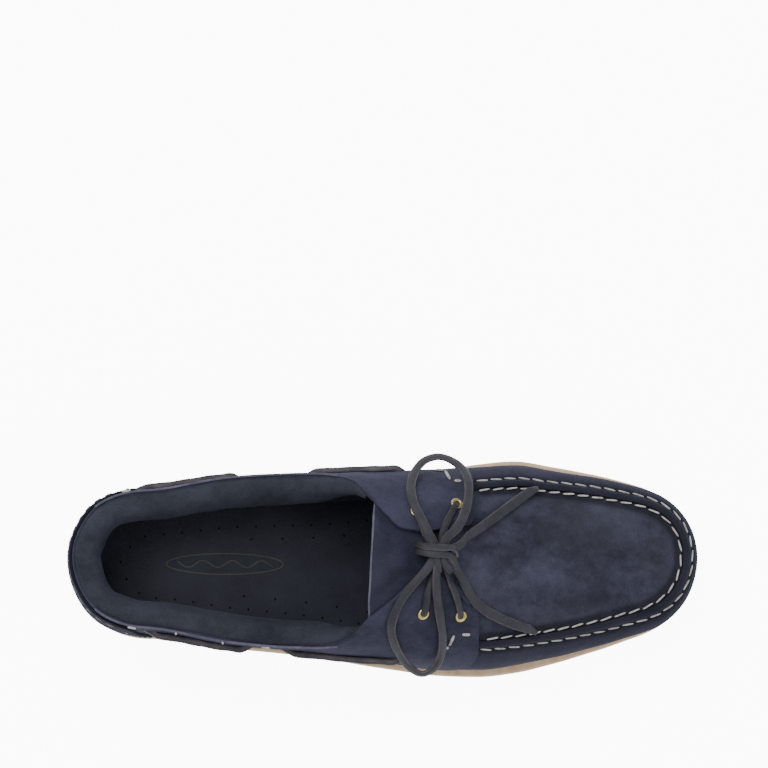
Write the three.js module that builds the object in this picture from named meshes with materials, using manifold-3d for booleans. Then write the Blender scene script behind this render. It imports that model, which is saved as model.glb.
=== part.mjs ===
// A right-foot boat shoe, hand-sewn like a moccasin, standing empty on its sole.
// Millimetres. +X runs to the toe, +Y to the inner (medial) side of the foot, +Z up.
// The origin lies on the floor under the middle of the sole's length and width.
import * as THREE from "three";
import { mergeVertices } from "three/addons/utils/BufferGeometryUtils.js";
import Module from "manifold-3d";

const wasm = await Module();
wasm.setup();

// Driving sizes
const LENGTH = 290; // of the outsole, heel to toe
const WALL = 2.0; // leather of the upper
const GAP = 0.3; // between pieces that touch
const SIGN = { lateral: -1, medial: 1 };

// "at" is the share of the length, 0 at the back of the heel and 1 at the tip of the toe.
// How far the flanks of the sole's edge lie from the x axis, on the outer and the inner side.
const SOLE_FLANKS = [
  { at: 0.13, lateral: 33.4, medial: 33.0 },
  { at: 0.25, lateral: 37.6, medial: 36.4 },
  { at: 0.38, lateral: 41.4, medial: 38.0 },
  { at: 0.5, lateral: 46.8, medial: 41.5 },
  { at: 0.6, lateral: 50.2, medial: 46.4 },
  { at: 0.65, lateral: 50.5, medial: 49.0 },
  { at: 0.71, lateral: 48.6, medial: 50.5 },
  { at: 0.77, lateral: 44.6, medial: 47.9 },
  { at: 0.84, lateral: 39.6, medial: 44.8 },
  { at: 0.9, lateral: 36.7, medial: 43.0 },
  { at: 1.0, lateral: 36.0, medial: 42.6 },
];
// The ends close the flanks to a tip: a quarter superellipse with these powers, starting at "from".
const HEEL_END = { from: 0.13, tip: 1.7, along: 2.2, across: 2.0 };
const TOE_END = { from: 0.64, tip: 4.3, along: 5.0, across: 2.0 };

// Heights along the sole: its underside with heel, arch and toe spring, and its top under the upper.
const SOLE_HEIGHTS = [
  { at: 0.0, under: 1.2, top: 24.5 },
  { at: 0.03, under: 0.0, top: 24.3 },
  { at: 0.13, under: 0.0, top: 23.4 },
  { at: 0.26, under: 0.0, top: 21.4 },
  { at: 0.268, under: 6.5, top: 21.2 },
  { at: 0.34, under: 5.0, top: 18.8 },
  { at: 0.48, under: 0.0, top: 13.6 },
  { at: 0.6, under: 0.0, top: 10.8 },
  { at: 0.72, under: 0.0, top: 10.4 },
  { at: 0.82, under: 1.8, top: 12.2 },
  { at: 0.92, under: 5.6, top: 15.6 },
  { at: 1.0, under: 10.5, top: 19.8 },
];

// The last, station by station: margin of sole outside the upper, outward swell of the wall and its
// extra over the arch, height and sideways place of the ridge over the foot, squareness of the section.
const LAST = [
  { at: 0.0, margin: 2.0, swell: 0.6, arch: 0.0, ridge: 100, middle: 1.7, square: 2.5 },
  { at: 0.05, margin: 2.1, swell: 3.2, arch: 1.0, ridge: 100, middle: 1.3, square: 2.5 },
  { at: 0.15, margin: 2.4, swell: 4.0, arch: 2.0, ridge: 100, middle: 0.5, square: 2.5 },
  { at: 0.3, margin: 2.4, swell: 5.5, arch: 5.0, ridge: 98, middle: -1.0, square: 2.5 },
  { at: 0.4, margin: 2.8, swell: 5.0, arch: 6.8, ridge: 93, middle: -2.0, square: 2.5 },
  { at: 0.5, margin: 3.6, swell: 4.0, arch: 5.8, ridge: 85, middle: -1.0, square: 2.5 },
  { at: 0.6, margin: 4.4, swell: 3.0, arch: 1.5, ridge: 72.5, middle: 1.0, square: 2.5 },
  { at: 0.7, margin: 4.6, swell: 2.4, arch: 0.0, ridge: 60, middle: 2.2, square: 2.6 },
  { at: 0.8, margin: 3.8, swell: 2.0, arch: 0.0, ridge: 51.5, middle: 2.8, square: 2.6 },
  { at: 0.9, margin: 2.6, swell: 2.0, arch: 0.0, ridge: 46, middle: 3.4, square: 2.5 },
  { at: 1.0, margin: 1.0, swell: 2.2, arch: 0.0, ridge: 42, middle: 4.3, square: 2.4 },
];
// The ribs at the heel and the toe lean towards the middle of the shoe by these shares of the length.
const HEEL_LEAN = { from: 0.4, by: 0.12, power: 2.2 };
const TOE_LEAN = { from: 0.5, by: 0.1, power: 2.2 };

// The top line, as degrees round each rib from the sole (0) to the ridge (90):
// the collar as far as 0.43, then the inner edge of the eyelet flap to the end of the throat.
const TOP_LINE = [
  { at: 0.0, turn: 34 },
  { at: 0.06, turn: 32.5 },
  { at: 0.15, turn: 28.5 },
  { at: 0.3, turn: 24.5 },
  { at: 0.38, turn: 27 },
  { at: 0.43, turn: 34 },
  { at: 0.48, turn: 50 },
  { at: 0.52, turn: 70 },
  { at: 0.56, turn: 78 },
  { at: 0.58, turn: 83 },
  { at: 0.6, turn: 90 },
];

// The hand-sewn seam between vamp and apron, as its distance in plan inside the upper's bottom edge
// with what the inner side adds, and the ridge that it gathers up.
const SEAM_LINE = [
  { at: 0.45, inset: 6.5, inner: 0 },
  { at: 0.66, inset: 9.4, inner: 1.2 },
  { at: 0.72, inset: 9.0, inner: 1.4 },
  { at: 0.85, inset: 7.1, inner: 1.2 },
  { at: 1.0, inset: 6.4, inner: 0 },
];
const SEAM_RIDGE = { halfFoot: 2.9, halfTop: 1.5, high: 1.6, shoulder: 0.8, from: 0.63, full: 0.68 };

// Half of the tongue's width, as degrees round each rib; it is hidden under the apron past the throat.
const TONGUE_EDGE = [
  { at: 0.475, turn: 53 },
  { at: 0.6, turn: 61 },
  { at: 0.69, turn: 66 },
];
const TONGUE = { thick: 2.0, clear: 0.9 };

// Thickness of the hand-sewn patch round the back of the heel, and how far it goes.
const HEEL_PATCH = { thick: 1.3, clear: 0.6, to: 0.135, lowTurn: 3, clearOfTop: 3, steps: 14 };

// Brass eyelets, by station and distance of their middle from the ridge in plan.
const EYELETS = [
  { side: "medial", name: "front", at: 0.609, out: 23.2 },
  { side: "medial", name: "rear", at: 0.545, out: 20.0 },
  { side: "lateral", name: "front", at: 0.616, out: 25.8 },
  { side: "lateral", name: "rear", at: 0.556, out: 24.0 },
];
const EYELET = { bore: 1.4, barrel: 1.8, flange: 2.8, thick: 0.6, over: 0.4, under: 0.6, hole: 2.2 };

// Rawhide lace. The side lace runs round the collar, below the top line, and shows in lengths.
const LACE = 3.2;
const SIDE_LACE = [
  { at: 0.1, turn: 20 },
  { at: 0.3, turn: 15 },
  { at: 0.4, turn: 17 },
  { at: 0.55, turn: 24 },
];
const SIDE_LACE_STEPS = 16;
const SIDE_LACES = [
  { side: "medial", name: "rear", from: 0.1, to: 0.275 },
  { side: "medial", name: "front", from: 0.365, to: 0.54 },
  { side: "lateral", name: "rear", from: 0.1, to: 0.29 },
  { side: "lateral", name: "front", from: 0.33, to: 0.54 },
];
// Two lengths between opposite eyelets cross under the knot.
const LACE_BARS = [
  [[29.4, 19.6, 71.8], [27, 11, 75.4], [24, 1.5, 77.2], [20.5, -10, 78.2], [17.4, -19, 77.2]],
  [[31, -21.2, 70.4], [28, -11, 75.2], [24, 1.5, 77.2], [18, 10, 78.4], [15, 14.6, 79.2]],
];
const KNOT = { middle: [22.6, 1.8, 83.6], radii: [9.4, 4.6, 4.2] };
// The bow: two loops and two ends, from the knot outwards.
const BOW = {
  lace_loop_medial: [
    [20.2, 8.4, 82.5], [17.8, 13.2, 82.6], [15, 19, 80.4], [12.2, 26.3, 75], [11.6, 33.6, 68],
    [13.9, 40.8, 61], [18.2, 45.8, 56.5], [24.5, 47.6, 54.5], [30.6, 45.5, 55.5], [35.5, 40.7, 59],
    [37.5, 34.2, 64.5], [37, 26.5, 70.5], [35, 19.2, 75.6], [31.6, 12.8, 79.6], [27.4, 8.6, 82],
  ],
  lace_loop_lateral: [
    [18.4, -5.4, 83], [14.6, -9.8, 83.6], [8.9, -16.3, 83], [4.9, -23.3, 80.6], [2.7, -30.1, 75],
    [4, -37.1, 67.5], [7.2, -43, 60], [11.8, -48.2, 54], [16.8, -50.4, 51], [21.8, -48.1, 52],
    [24.9, -42.4, 57], [25.7, -35.9, 63.5], [24.6, -27.3, 71.5], [23.1, -18.7, 77.6], [22.6, -10.9, 81.4],
    [22.8, -5, 82.8],
  ],
  lace_end_medial: [
    [33.4, 5.8, 79.6], [36.4, 9.4, 74.8], [41, 13, 70], [47.7, 18, 65], [54.6, 23.4, 60.4],
    [61.7, 28.9, 56], [68.9, 34.3, 51.6],
  ],
  lace_end_lateral: [
    [31.2, -4.6, 80], [34.4, -9.8, 74.8], [38.5, -17, 69.6], [44.2, -22.1, 65.2], [51.5, -25.9, 60.4],
    [59.4, -28.8, 55.6], [68.7, -31.2, 50.8],
  ],
};

// Other sizes of the pieces, and how finely they are divided
const INSOLE = { thick: 2.8, clear: 0.5, round: 0.8 };
const GROOVE = { width: 1.6, depth: 2.2, swing: 2.5, folds: 8, reach: 60 };
const GROOVES = [
  { from: 0.52, to: 0.9, count: 9 },
  { from: 0.06, to: 0.22, count: 4 },
];
const HEEL_BREAST = [0.26, 0.268];
const SOLE_STEPS = 30;
const INSOLE_STEPS = 22;
const UPPER_STEPS = 38;
const TONGUE_STEPS = 12;
const HOLE_SIDES = 12;

// Plain helpers

// A smooth curve through one column of a table: cubic pieces, level where the table ends or turns back.
function column(rows, name, at) {
  const last = rows.length - 1;
  if (at <= rows[0].at) return rows[0][name];
  if (at >= rows[last].at) return rows[last][name];
  const i = rows.findIndex((row) => row.at > at) - 1;
  const step = (k) => (rows[k + 1][name] - rows[k][name]) / (rows[k + 1].at - rows[k].at);
  const slope = (k) => {
    if (k === 0 || k === last) return 0;
    const before = step(k - 1);
    const after = step(k);
    return before * after <= 0 ? 0 : (2 * before * after) / (before + after);
  };
  const width = rows[i + 1].at - rows[i].at;
  const u = (at - rows[i].at) / width;
  const a = rows[i][name];
  const b = rows[i + 1][name];
  const ease = u * u * (3 - 2 * u);
  return a + (b - a) * ease + width * u * (1 - u) * ((1 - u) * slope(i) - u * slope(i + 1));
}

const quarter = (u, { along, across }) => Math.pow(1 - Math.pow(THREE.MathUtils.clamp(u, 0, 1), along), 1 / across);

// A point of the sole's edge in plan, moved inwards by inset.
function edgePoint(side, at, inset = 0) {
  const plan = (a) => {
    const flank = SIGN[side] * column(SOLE_FLANKS, side, a);
    const heel = quarter((HEEL_END.from - a) / HEEL_END.from, HEEL_END);
    const toe = quarter((a - TOE_END.from) / (1 - TOE_END.from), TOE_END);
    const tip = a < 0.5 ? HEEL_END.tip : TOE_END.tip;
    return new THREE.Vector2((a - 0.5) * LENGTH, tip + (flank - tip) * heel * toe);
  };
  const here = plan(at);
  const reach = 0.001;
  if (at < reach || at > 1 - reach) return here.add(new THREE.Vector2(at < reach ? inset : -inset, 0));
  const along = plan(at + reach).sub(plan(at - reach));
  const inward = new THREE.Vector2(along.y, -along.x).normalize().multiplyScalar(SIGN[side]);
  return here.addScaledVector(inward, inset);
}

const atOf = (x) => THREE.MathUtils.clamp(x / LENGTH + 0.5, 0, 1);
const soleTop = (x) => column(SOLE_HEIGHTS, "top", atOf(x));
const soleUnder = (x) => column(SOLE_HEIGHTS, "under", atOf(x));

// The ridge point that the rib from this station runs up to.
function ridgePoint(at) {
  const heel = Math.max(0, (HEEL_LEAN.from - at) / HEEL_LEAN.from);
  const toe = Math.max(0, (at - TOE_LEAN.from) / (1 - TOE_LEAN.from));
  const there =
    at + HEEL_LEAN.by * Math.pow(heel, HEEL_LEAN.power) - TOE_LEAN.by * Math.pow(toe, TOE_LEAN.power);
  return new THREE.Vector3((there - 0.5) * LENGTH, column(LAST, "middle", at), column(LAST, "ridge", at));
}

// A point of the last's surface: turn is 0 degrees at the sole and 90 at the ridge.
function ribPoint(side, at, turn) {
  const foot = edgePoint(side, at, column(LAST, "margin", at));
  const base = new THREE.Vector3(foot.x, foot.y, soleTop(foot.x) + GAP);
  const ridge = ridgePoint(at);
  const power = 2 / column(LAST, "square", at);
  const angle = THREE.MathUtils.degToRad(turn);
  const across = 1 - Math.pow(Math.max(0, Math.cos(angle)), power);
  const up = Math.pow(Math.sin(angle), power);
  const inward = new THREE.Vector3(ridge.x - base.x, ridge.y - base.y, 0);
  const width = inward.length();
  const fullness = column(LAST, "swell", at) + (side === "medial" ? column(LAST, "arch", at) : 0);
  const swell = fullness * Math.sin(2 * angle) * (1 - up * up);
  const plan = inward.multiplyScalar((across * width - swell) / width);
  return base.clone().add(plan).setZ(base.z + (ridge.z - base.z) * up);
}

// One rib as a measured line, so that rows can be placed by their length along the leather.
function makeRib(side, at) {
  const steps = 90;
  const points = Array.from({ length: steps + 1 }, (_, k) => ribPoint(side, at, (90 * k) / steps));
  const lengths = [0];
  for (let k = 1; k <= steps; k++) lengths.push(lengths[k - 1] + points[k].distanceTo(points[k - 1]));
  const lengthAt = (turn) => {
    const k = Math.min(steps - 1, Math.floor((turn / 90) * steps));
    return THREE.MathUtils.lerp(lengths[k], lengths[k + 1], (turn / 90) * steps - k);
  };
  const pointAt = (length) => {
    const k = Math.max(1, lengths.findIndex((l) => l >= length));
    if (length >= lengths[steps]) return points[steps].clone();
    const share = (length - lengths[k - 1]) / (lengths[k] - lengths[k - 1]);
    return points[k - 1].clone().lerp(points[k], share);
  };
  const inset = column(SEAM_LINE, "inset", at) + (side === "medial" ? column(SEAM_LINE, "inner", at) : 0);
  const ridge = points[steps];
  const reach = Math.hypot(ridge.x - points[0].x, ridge.y - points[0].y);
  const inside = (p) => reach - Math.hypot(ridge.x - p.x, ridge.y - p.y);
  const seam = lengths[points.findIndex((p, k) => k > steps / 6 && inside(p) >= inset)];
  return { side, at, pointAt, lengthAt, seam };
}

// Stations from the toe to the heel, closer together where the outline is round.
const stations = (count) => Array.from({ length: count + 1 }, (_, k) => (1 + Math.cos((Math.PI * k) / count)) / 2);

// A surface through rows of equal length, each row a list of points with a lift off the surface.
function surfaceThrough(rows) {
  const geometry = new THREE.BufferGeometry();
  const points = rows.flat();
  const wide = rows[0].length;
  geometry.setAttribute("position", new THREE.Float32BufferAttribute(points.flatMap((p) => [p.x, p.y, p.z]), 3));
  geometry.setAttribute("lift", new THREE.Float32BufferAttribute(points.map((p) => p.lift ?? 0), 1));
  const index = [];
  for (let i = 0; i < rows.length - 1; i++) {
    for (let j = 0; j < wide - 1; j++) {
      const a = i * wide + j;
      const b = a + wide;
      index.push(a, b, b + 1, a, b + 1, a + 1);
    }
  }
  geometry.setIndex(index);
  return withoutSlivers(mergeVertices(geometry, 1e-3));
}

function withoutSlivers(geometry) {
  const index = geometry.index.array;
  const kept = [];
  for (let i = 0; i < index.length; i += 3) {
    const [a, b, c] = [index[i], index[i + 1], index[i + 2]];
    if (a !== b && b !== c && c !== a) kept.push(a, b, c);
  }
  geometry.setIndex(kept);
  return geometry;
}

// Gives a surface a thickness: from low to high millimetres along its normals, plus each point's lift.
function thicken(surface, low, high) {
  surface.computeVertexNormals();
  const { position, normal, lift } = surface.attributes;
  const count = position.count;
  const layer = (amount) =>
    Array.from({ length: count }, (_, i) => {
      const away = amount(i);
      return [
        position.getX(i) + normal.getX(i) * away,
        position.getY(i) + normal.getY(i) * away,
        position.getZ(i) + normal.getZ(i) * away,
      ];
    }).flat();
  const outer = [...surface.index.array];
  const rim = new Map();
  for (let i = 0; i < outer.length; i += 3) {
    for (let k = 0; k < 3; k++) {
      const a = outer[i + k];
      const b = outer[i + ((k + 1) % 3)];
      if (!rim.delete(`${b} ${a}`)) rim.set(`${a} ${b}`, [a, b]);
    }
  }
  const index = [...outer];
  for (let i = 0; i < outer.length; i += 3) {
    index.push(outer[i] + count, outer[i + 2] + count, outer[i + 1] + count);
  }
  for (const [a, b] of rim.values()) index.push(b, a, a + count, b, a + count, b + count);
  const solid = new THREE.BufferGeometry();
  const points = [...layer((i) => high + lift.getX(i)), ...layer(() => low)];
  solid.setAttribute("position", new THREE.Float32BufferAttribute(points, 3));
  solid.setIndex(index);
  return solid;
}

// Booleans
function toManifold(geometry) {
  const bare = geometry.clone();
  bare.deleteAttribute("normal");
  bare.deleteAttribute("uv");
  const merged = withoutSlivers(mergeVertices(bare, 1e-3));
  return new wasm.Manifold(
    new wasm.Mesh({
      numProp: 3,
      vertProperties: new Float32Array(merged.attributes.position.array),
      triVerts: new Uint32Array(merged.index.array),
    }),
  );
}

function toGeometry(solid) {
  const mesh = solid.getMesh();
  const geometry = new THREE.BufferGeometry();
  geometry.setAttribute("position", new THREE.Float32BufferAttribute(mesh.vertProperties, 3));
  geometry.setIndex([...mesh.triVerts]);
  return geometry;
}

function cut(geometry, cutters) {
  return toGeometry(cutters.reduce((solid, cutter) => solid.subtract(toManifold(cutter)), toManifold(geometry)));
}

// Pieces

// A slab in rings up the sole's edge. Every ring has the same stations, so its caps run straight across.
function slab(levels, shares) {
  const half = shares.length - 1;
  const size = 2 * half;
  const rings = levels.map(({ inset, height }) => {
    const medial = shares.map((at) => edgePoint("medial", at, inset));
    const lateral = shares.map((at) => edgePoint("lateral", at, inset)).reverse();
    return [...medial, ...lateral.slice(1, -1)].map((p) => new THREE.Vector3(p.x, p.y, height(p.x)));
  });
  const index = [];
  for (let i = 0; i < rings.length - 1; i++) {
    for (let j = 0; j < size; j++) {
      const a = i * size + j;
      const b = i * size + ((j + 1) % size);
      index.push(a, b, b + size, a, b + size, a + size);
    }
  }
  for (let k = 0; k < half; k++) {
    const low = [k, k + 1, size - k - 1, k, size - k - 1, (size - k) % size];
    const top = low.map((v) => v + (rings.length - 1) * size);
    index.push(...low.reverse(), ...top);
  }
  const geometry = new THREE.BufferGeometry();
  geometry.setAttribute("position", new THREE.Float32BufferAttribute(rings.flat().flatMap((p) => [p.x, p.y, p.z]), 3));
  geometry.setIndex(index);
  return withoutSlivers(geometry);
}

// A wavy groove across the sole's underside: a slip-proof tread opens along lines like these.
function treadGroove(x) {
  const { width, depth, swing, folds, reach } = GROOVE;
  const bottom = 10;
  const side = (edge) =>
    Array.from({ length: folds + 1 }, (_, k) => [
      x + (k % 2 ? swing : -swing) + edge,
      -reach + (2 * reach * k) / folds,
    ]);
  const shape = new THREE.Shape([...side(width / 2), ...side(-width / 2).reverse()].map(([a, b]) => new THREE.Vector2(a, b)));
  const geometry = new THREE.ExtrudeGeometry(shape, { depth: depth + bottom, bevelEnabled: false });
  return geometry.translate(0, 0, soleUnder(x) - bottom);
}

function makeOutsole() {
  const shares = [...stations(SOLE_STEPS), ...HEEL_BREAST].sort((a, b) => b - a);
  const body = slab(
    [
      { inset: 3.2, height: soleUnder },
      { inset: 1.2, height: (x) => soleUnder(x) + 1.6 },
      { inset: 0.2, height: (x) => soleTop(x) - 5.0 },
      { inset: 0.0, height: (x) => soleTop(x) - 1.4 },
      { inset: 1.2, height: soleTop },
    ],
    shares,
  );
  const grooves = GROOVES.flatMap(({ from, to, count }) =>
    Array.from({ length: count }, (_, k) => treadGroove((from + ((to - from) * k) / (count - 1) - 0.5) * LENGTH)),
  );
  return cut(body, grooves);
}

function makeInsole() {
  const inset = Math.max(...LAST.map((row) => row.margin)) + WALL + INSOLE.clear;
  return slab(
    [
      { inset: inset + 0.3, height: (x) => soleTop(x) + GAP },
      { inset, height: (x) => soleTop(x) + GAP + INSOLE.thick - INSOLE.round },
      { inset: inset + INSOLE.round, height: (x) => soleTop(x) + GAP + INSOLE.thick },
    ],
    stations(INSOLE_STEPS),
  );
}

// One row of the upper: up the wall, over the gathered seam, and on to the top line or the ridge.
function upperRow(rib) {
  const top = rib.lengthAt(column(TOP_LINE, "turn", rib.at));
  const { halfFoot, halfTop, high, shoulder, from, full } = SEAM_RIDGE;
  const gathered = THREE.MathUtils.smoothstep(rib.at, from, full);
  const seam = Math.min(rib.seam, top - 2 * halfFoot);
  const rows = [0, 0.3, 0.6, 0.85].map((share) => [share * (seam - halfFoot), 0]);
  rows.push([seam - halfFoot, 0], [seam - halfTop, shoulder], [seam, 1], [seam + halfTop, shoulder]);
  rows.push([seam + halfFoot, 0]);
  for (const share of [0.15, 0.32, 0.5, 0.7, 0.85, 1]) rows.push([seam + halfFoot + share * (top - seam - halfFoot), 0]);
  return rows.map(([length, share]) => Object.assign(rib.pointAt(length), { lift: share * high * gathered }));
}

const surfacePoint = (side, at, length) => makeRib(side, at).pointAt(length);

function surfaceNormal(side, at, length) {
  const here = surfacePoint(side, at, length);
  const along = surfacePoint(side, at + 0.004, length).sub(here);
  const up = surfacePoint(side, at, length + 1).sub(here);
  return along.cross(up).multiplyScalar(-SIGN[side]).normalize();
}

// Every rib, from the toe round the medial side to the heel and back round the lateral side.
function roundTheShoe(shares, row) {
  const medial = shares.map((at) => row(makeRib("medial", at)));
  const lateral = shares.map((at) => row(makeRib("lateral", at))).reverse();
  return [...medial, ...lateral.slice(1)];
}

// How far along a rib its plan reaches this distance from the ridge.
function lengthFromRidge(side, at, out) {
  const rib = makeRib(side, at);
  const ridge = ribPoint(side, at, 90);
  let low = rib.lengthAt(30);
  let high = rib.lengthAt(90);
  while (high - low > 0.01) {
    const p = rib.pointAt((low + high) / 2);
    if (Math.hypot(p.x - ridge.x, p.y - ridge.y) > out) low = (low + high) / 2;
    else high = (low + high) / 2;
  }
  return low;
}

function eyeletPlaces() {
  return EYELETS.map(({ side, name, at, out }) => {
    const length = lengthFromRidge(side, at, out);
    const turn = new THREE.Quaternion();
    turn.setFromUnitVectors(new THREE.Vector3(0, 1, 0), surfaceNormal(side, at, length));
    return { name: `eyelet_${side}_${name}`, point: surfacePoint(side, at, length), turn };
  });
}

function makeUpper() {
  const surface = surfaceThrough(roundTheShoe(stations(UPPER_STEPS), upperRow));
  const holes = eyeletPlaces().map(({ point, turn }) =>
    new THREE.CylinderGeometry(EYELET.hole, EYELET.hole, 4 * WALL, HOLE_SIDES)
      .applyQuaternion(turn)
      .translate(point.x, point.y, point.z),
  );
  return cut(thicken(surface, -WALL, 0), holes);
}

function makeTongue() {
  const { at: from } = TONGUE_EDGE[0];
  const { at: to } = TONGUE_EDGE[TONGUE_EDGE.length - 1];
  const rows = Array.from({ length: TONGUE_STEPS + 1 }, (_, k) => {
    const at = to + ((from - to) * k) / TONGUE_STEPS;
    const edge = column(TONGUE_EDGE, "turn", at);
    const turns = Array.from({ length: 5 }, (_, j) => edge + ((90 - edge) * j) / 4);
    const medial = turns.map((turn) => ribPoint("medial", at, turn));
    const lateral = turns.map((turn) => ribPoint("lateral", at, turn)).reverse();
    return [...medial, ...lateral.slice(1)];
  });
  const top = -WALL - TONGUE.clear;
  return thicken(surfaceThrough(rows), top - TONGUE.thick, top);
}

function makeHeelPatch() {
  const { thick, clear, to, lowTurn, clearOfTop, steps } = HEEL_PATCH;
  const shares = Array.from({ length: steps + 1 }, (_, k) => to * Math.pow(1 - k / steps, 1.6));
  const rows = roundTheShoe(shares, (rib) => {
    const low = rib.lengthAt(lowTurn);
    const high = rib.lengthAt(column(TOP_LINE, "turn", rib.at)) - clearOfTop;
    return [0, 0.25, 0.5, 0.75, 1].map((share) => rib.pointAt(THREE.MathUtils.lerp(low, high, share)));
  });
  return thicken(surfaceThrough(rows), clear, clear + thick);
}

function makeEyelet() {
  const { bore, barrel, flange, thick, over, under } = EYELET;
  const low = -WALL - under;
  const top = over + thick;
  const profile = [[bore, low], [barrel, low], [barrel, over], [flange, over], [flange - 0.5, top], [bore, top]];
  profile.push(profile[0]);
  return new THREE.LatheGeometry(profile.map(([r, z]) => new THREE.Vector2(r, z)), HOLE_SIDES);
}

// A round cord along points.
function cord(points, steps, thick = LACE) {
  const sides = 8;
  const section = Array.from({ length: sides }, (_, k) => {
    const angle = (2 * Math.PI * (k + 0.5)) / sides;
    return new THREE.Vector2(Math.cos(angle), Math.sin(angle)).multiplyScalar(thick / 2);
  });
  const extrudePath = new THREE.CatmullRomCurve3(points);
  return new THREE.ExtrudeGeometry(new THREE.Shape(section), { steps, extrudePath, bevelEnabled: false });
}

const toVectors = (list) => list.map((p) => new THREE.Vector3(...p));

function makeLaceBars() {
  const [first, second] = LACE_BARS.map((route) => toManifold(cord(toVectors(route), 12)));
  return toGeometry(first.add(second));
}

function makeSideLace({ side, from, to }) {
  const count = SIDE_LACE_STEPS / 2;
  const points = Array.from({ length: count + 1 }, (_, k) => {
    const at = from + ((to - from) * k) / count;
    const length = makeRib(side, at).lengthAt(column(SIDE_LACE, "turn", at));
    const over = at < HEEL_PATCH.to + 0.02 ? HEEL_PATCH.thick + GAP : 0;
    const away = LACE / 2 + HEEL_PATCH.clear + over;
    return surfacePoint(side, at, length).addScaledVector(surfaceNormal(side, at, length), away);
  });
  return cord(points, SIDE_LACE_STEPS);
}

function makeKnot() {
  return new THREE.SphereGeometry(1, 16, 10).scale(...KNOT.radii).translate(...KNOT.middle);
}

// Meshes

const FINISH = {
  suede: { color: 0x2c3146, roughness: 0.95 },
  tongue: { color: 0x3a3f54, roughness: 0.95 },
  patch: { color: 0x22263a, roughness: 0.8 },
  rubber: { color: 0xd9ccb4, roughness: 0.75 },
  lining: { color: 0x1f232e, roughness: 0.6 },
  brass: { color: 0xb59a52, roughness: 0.35, metalness: 1 },
  lace: { color: 0x35363d, roughness: 0.65 },
};

const shoe = new THREE.Group();
shoe.name = "boat_shoe_right";

function place(name, geometry, finish) {
  const mesh = new THREE.Mesh(geometry, new THREE.MeshStandardMaterial(FINISH[finish]));
  mesh.name = name;
  shoe.add(mesh);
  return mesh;
}

place("outsole", makeOutsole(), "rubber");
place("insole", makeInsole(), "lining");
place("upper", makeUpper(), "suede");
place("tongue", makeTongue(), "tongue");
place("heel_patch", makeHeelPatch(), "patch");
for (const { name, point, turn } of eyeletPlaces()) {
  const eyelet = place(name, makeEyelet(), "brass");
  eyelet.quaternion.copy(turn);
  eyelet.position.copy(point);
}

place("lace_bars", makeLaceBars(), "lace");
place("lace_knot", makeKnot(), "lace");
for (const [name, route] of Object.entries(BOW)) place(name, cord(toVectors(route), 2 * route.length), "lace");
for (const run of SIDE_LACES) place(`side_lace_${run.side}_${run.name}`, makeSideLace(run), "lace");

export default shoe;
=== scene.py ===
import bpy
import math
import numpy as np
from mathutils import Matrix, Vector


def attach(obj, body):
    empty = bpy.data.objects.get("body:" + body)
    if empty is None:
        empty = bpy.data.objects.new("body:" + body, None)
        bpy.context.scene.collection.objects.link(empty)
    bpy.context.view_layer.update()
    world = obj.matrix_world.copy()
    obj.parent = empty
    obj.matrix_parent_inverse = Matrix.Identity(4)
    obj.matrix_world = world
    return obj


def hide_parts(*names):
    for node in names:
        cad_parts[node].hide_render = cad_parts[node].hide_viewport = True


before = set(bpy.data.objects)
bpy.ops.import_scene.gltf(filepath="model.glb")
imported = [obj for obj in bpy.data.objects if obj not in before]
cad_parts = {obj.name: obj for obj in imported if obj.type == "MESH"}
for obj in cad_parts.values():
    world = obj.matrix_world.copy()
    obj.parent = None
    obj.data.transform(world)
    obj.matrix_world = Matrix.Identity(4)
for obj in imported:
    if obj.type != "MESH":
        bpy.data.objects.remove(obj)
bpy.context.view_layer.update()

bpy.ops.object.select_all(action="DESELECT")


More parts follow.
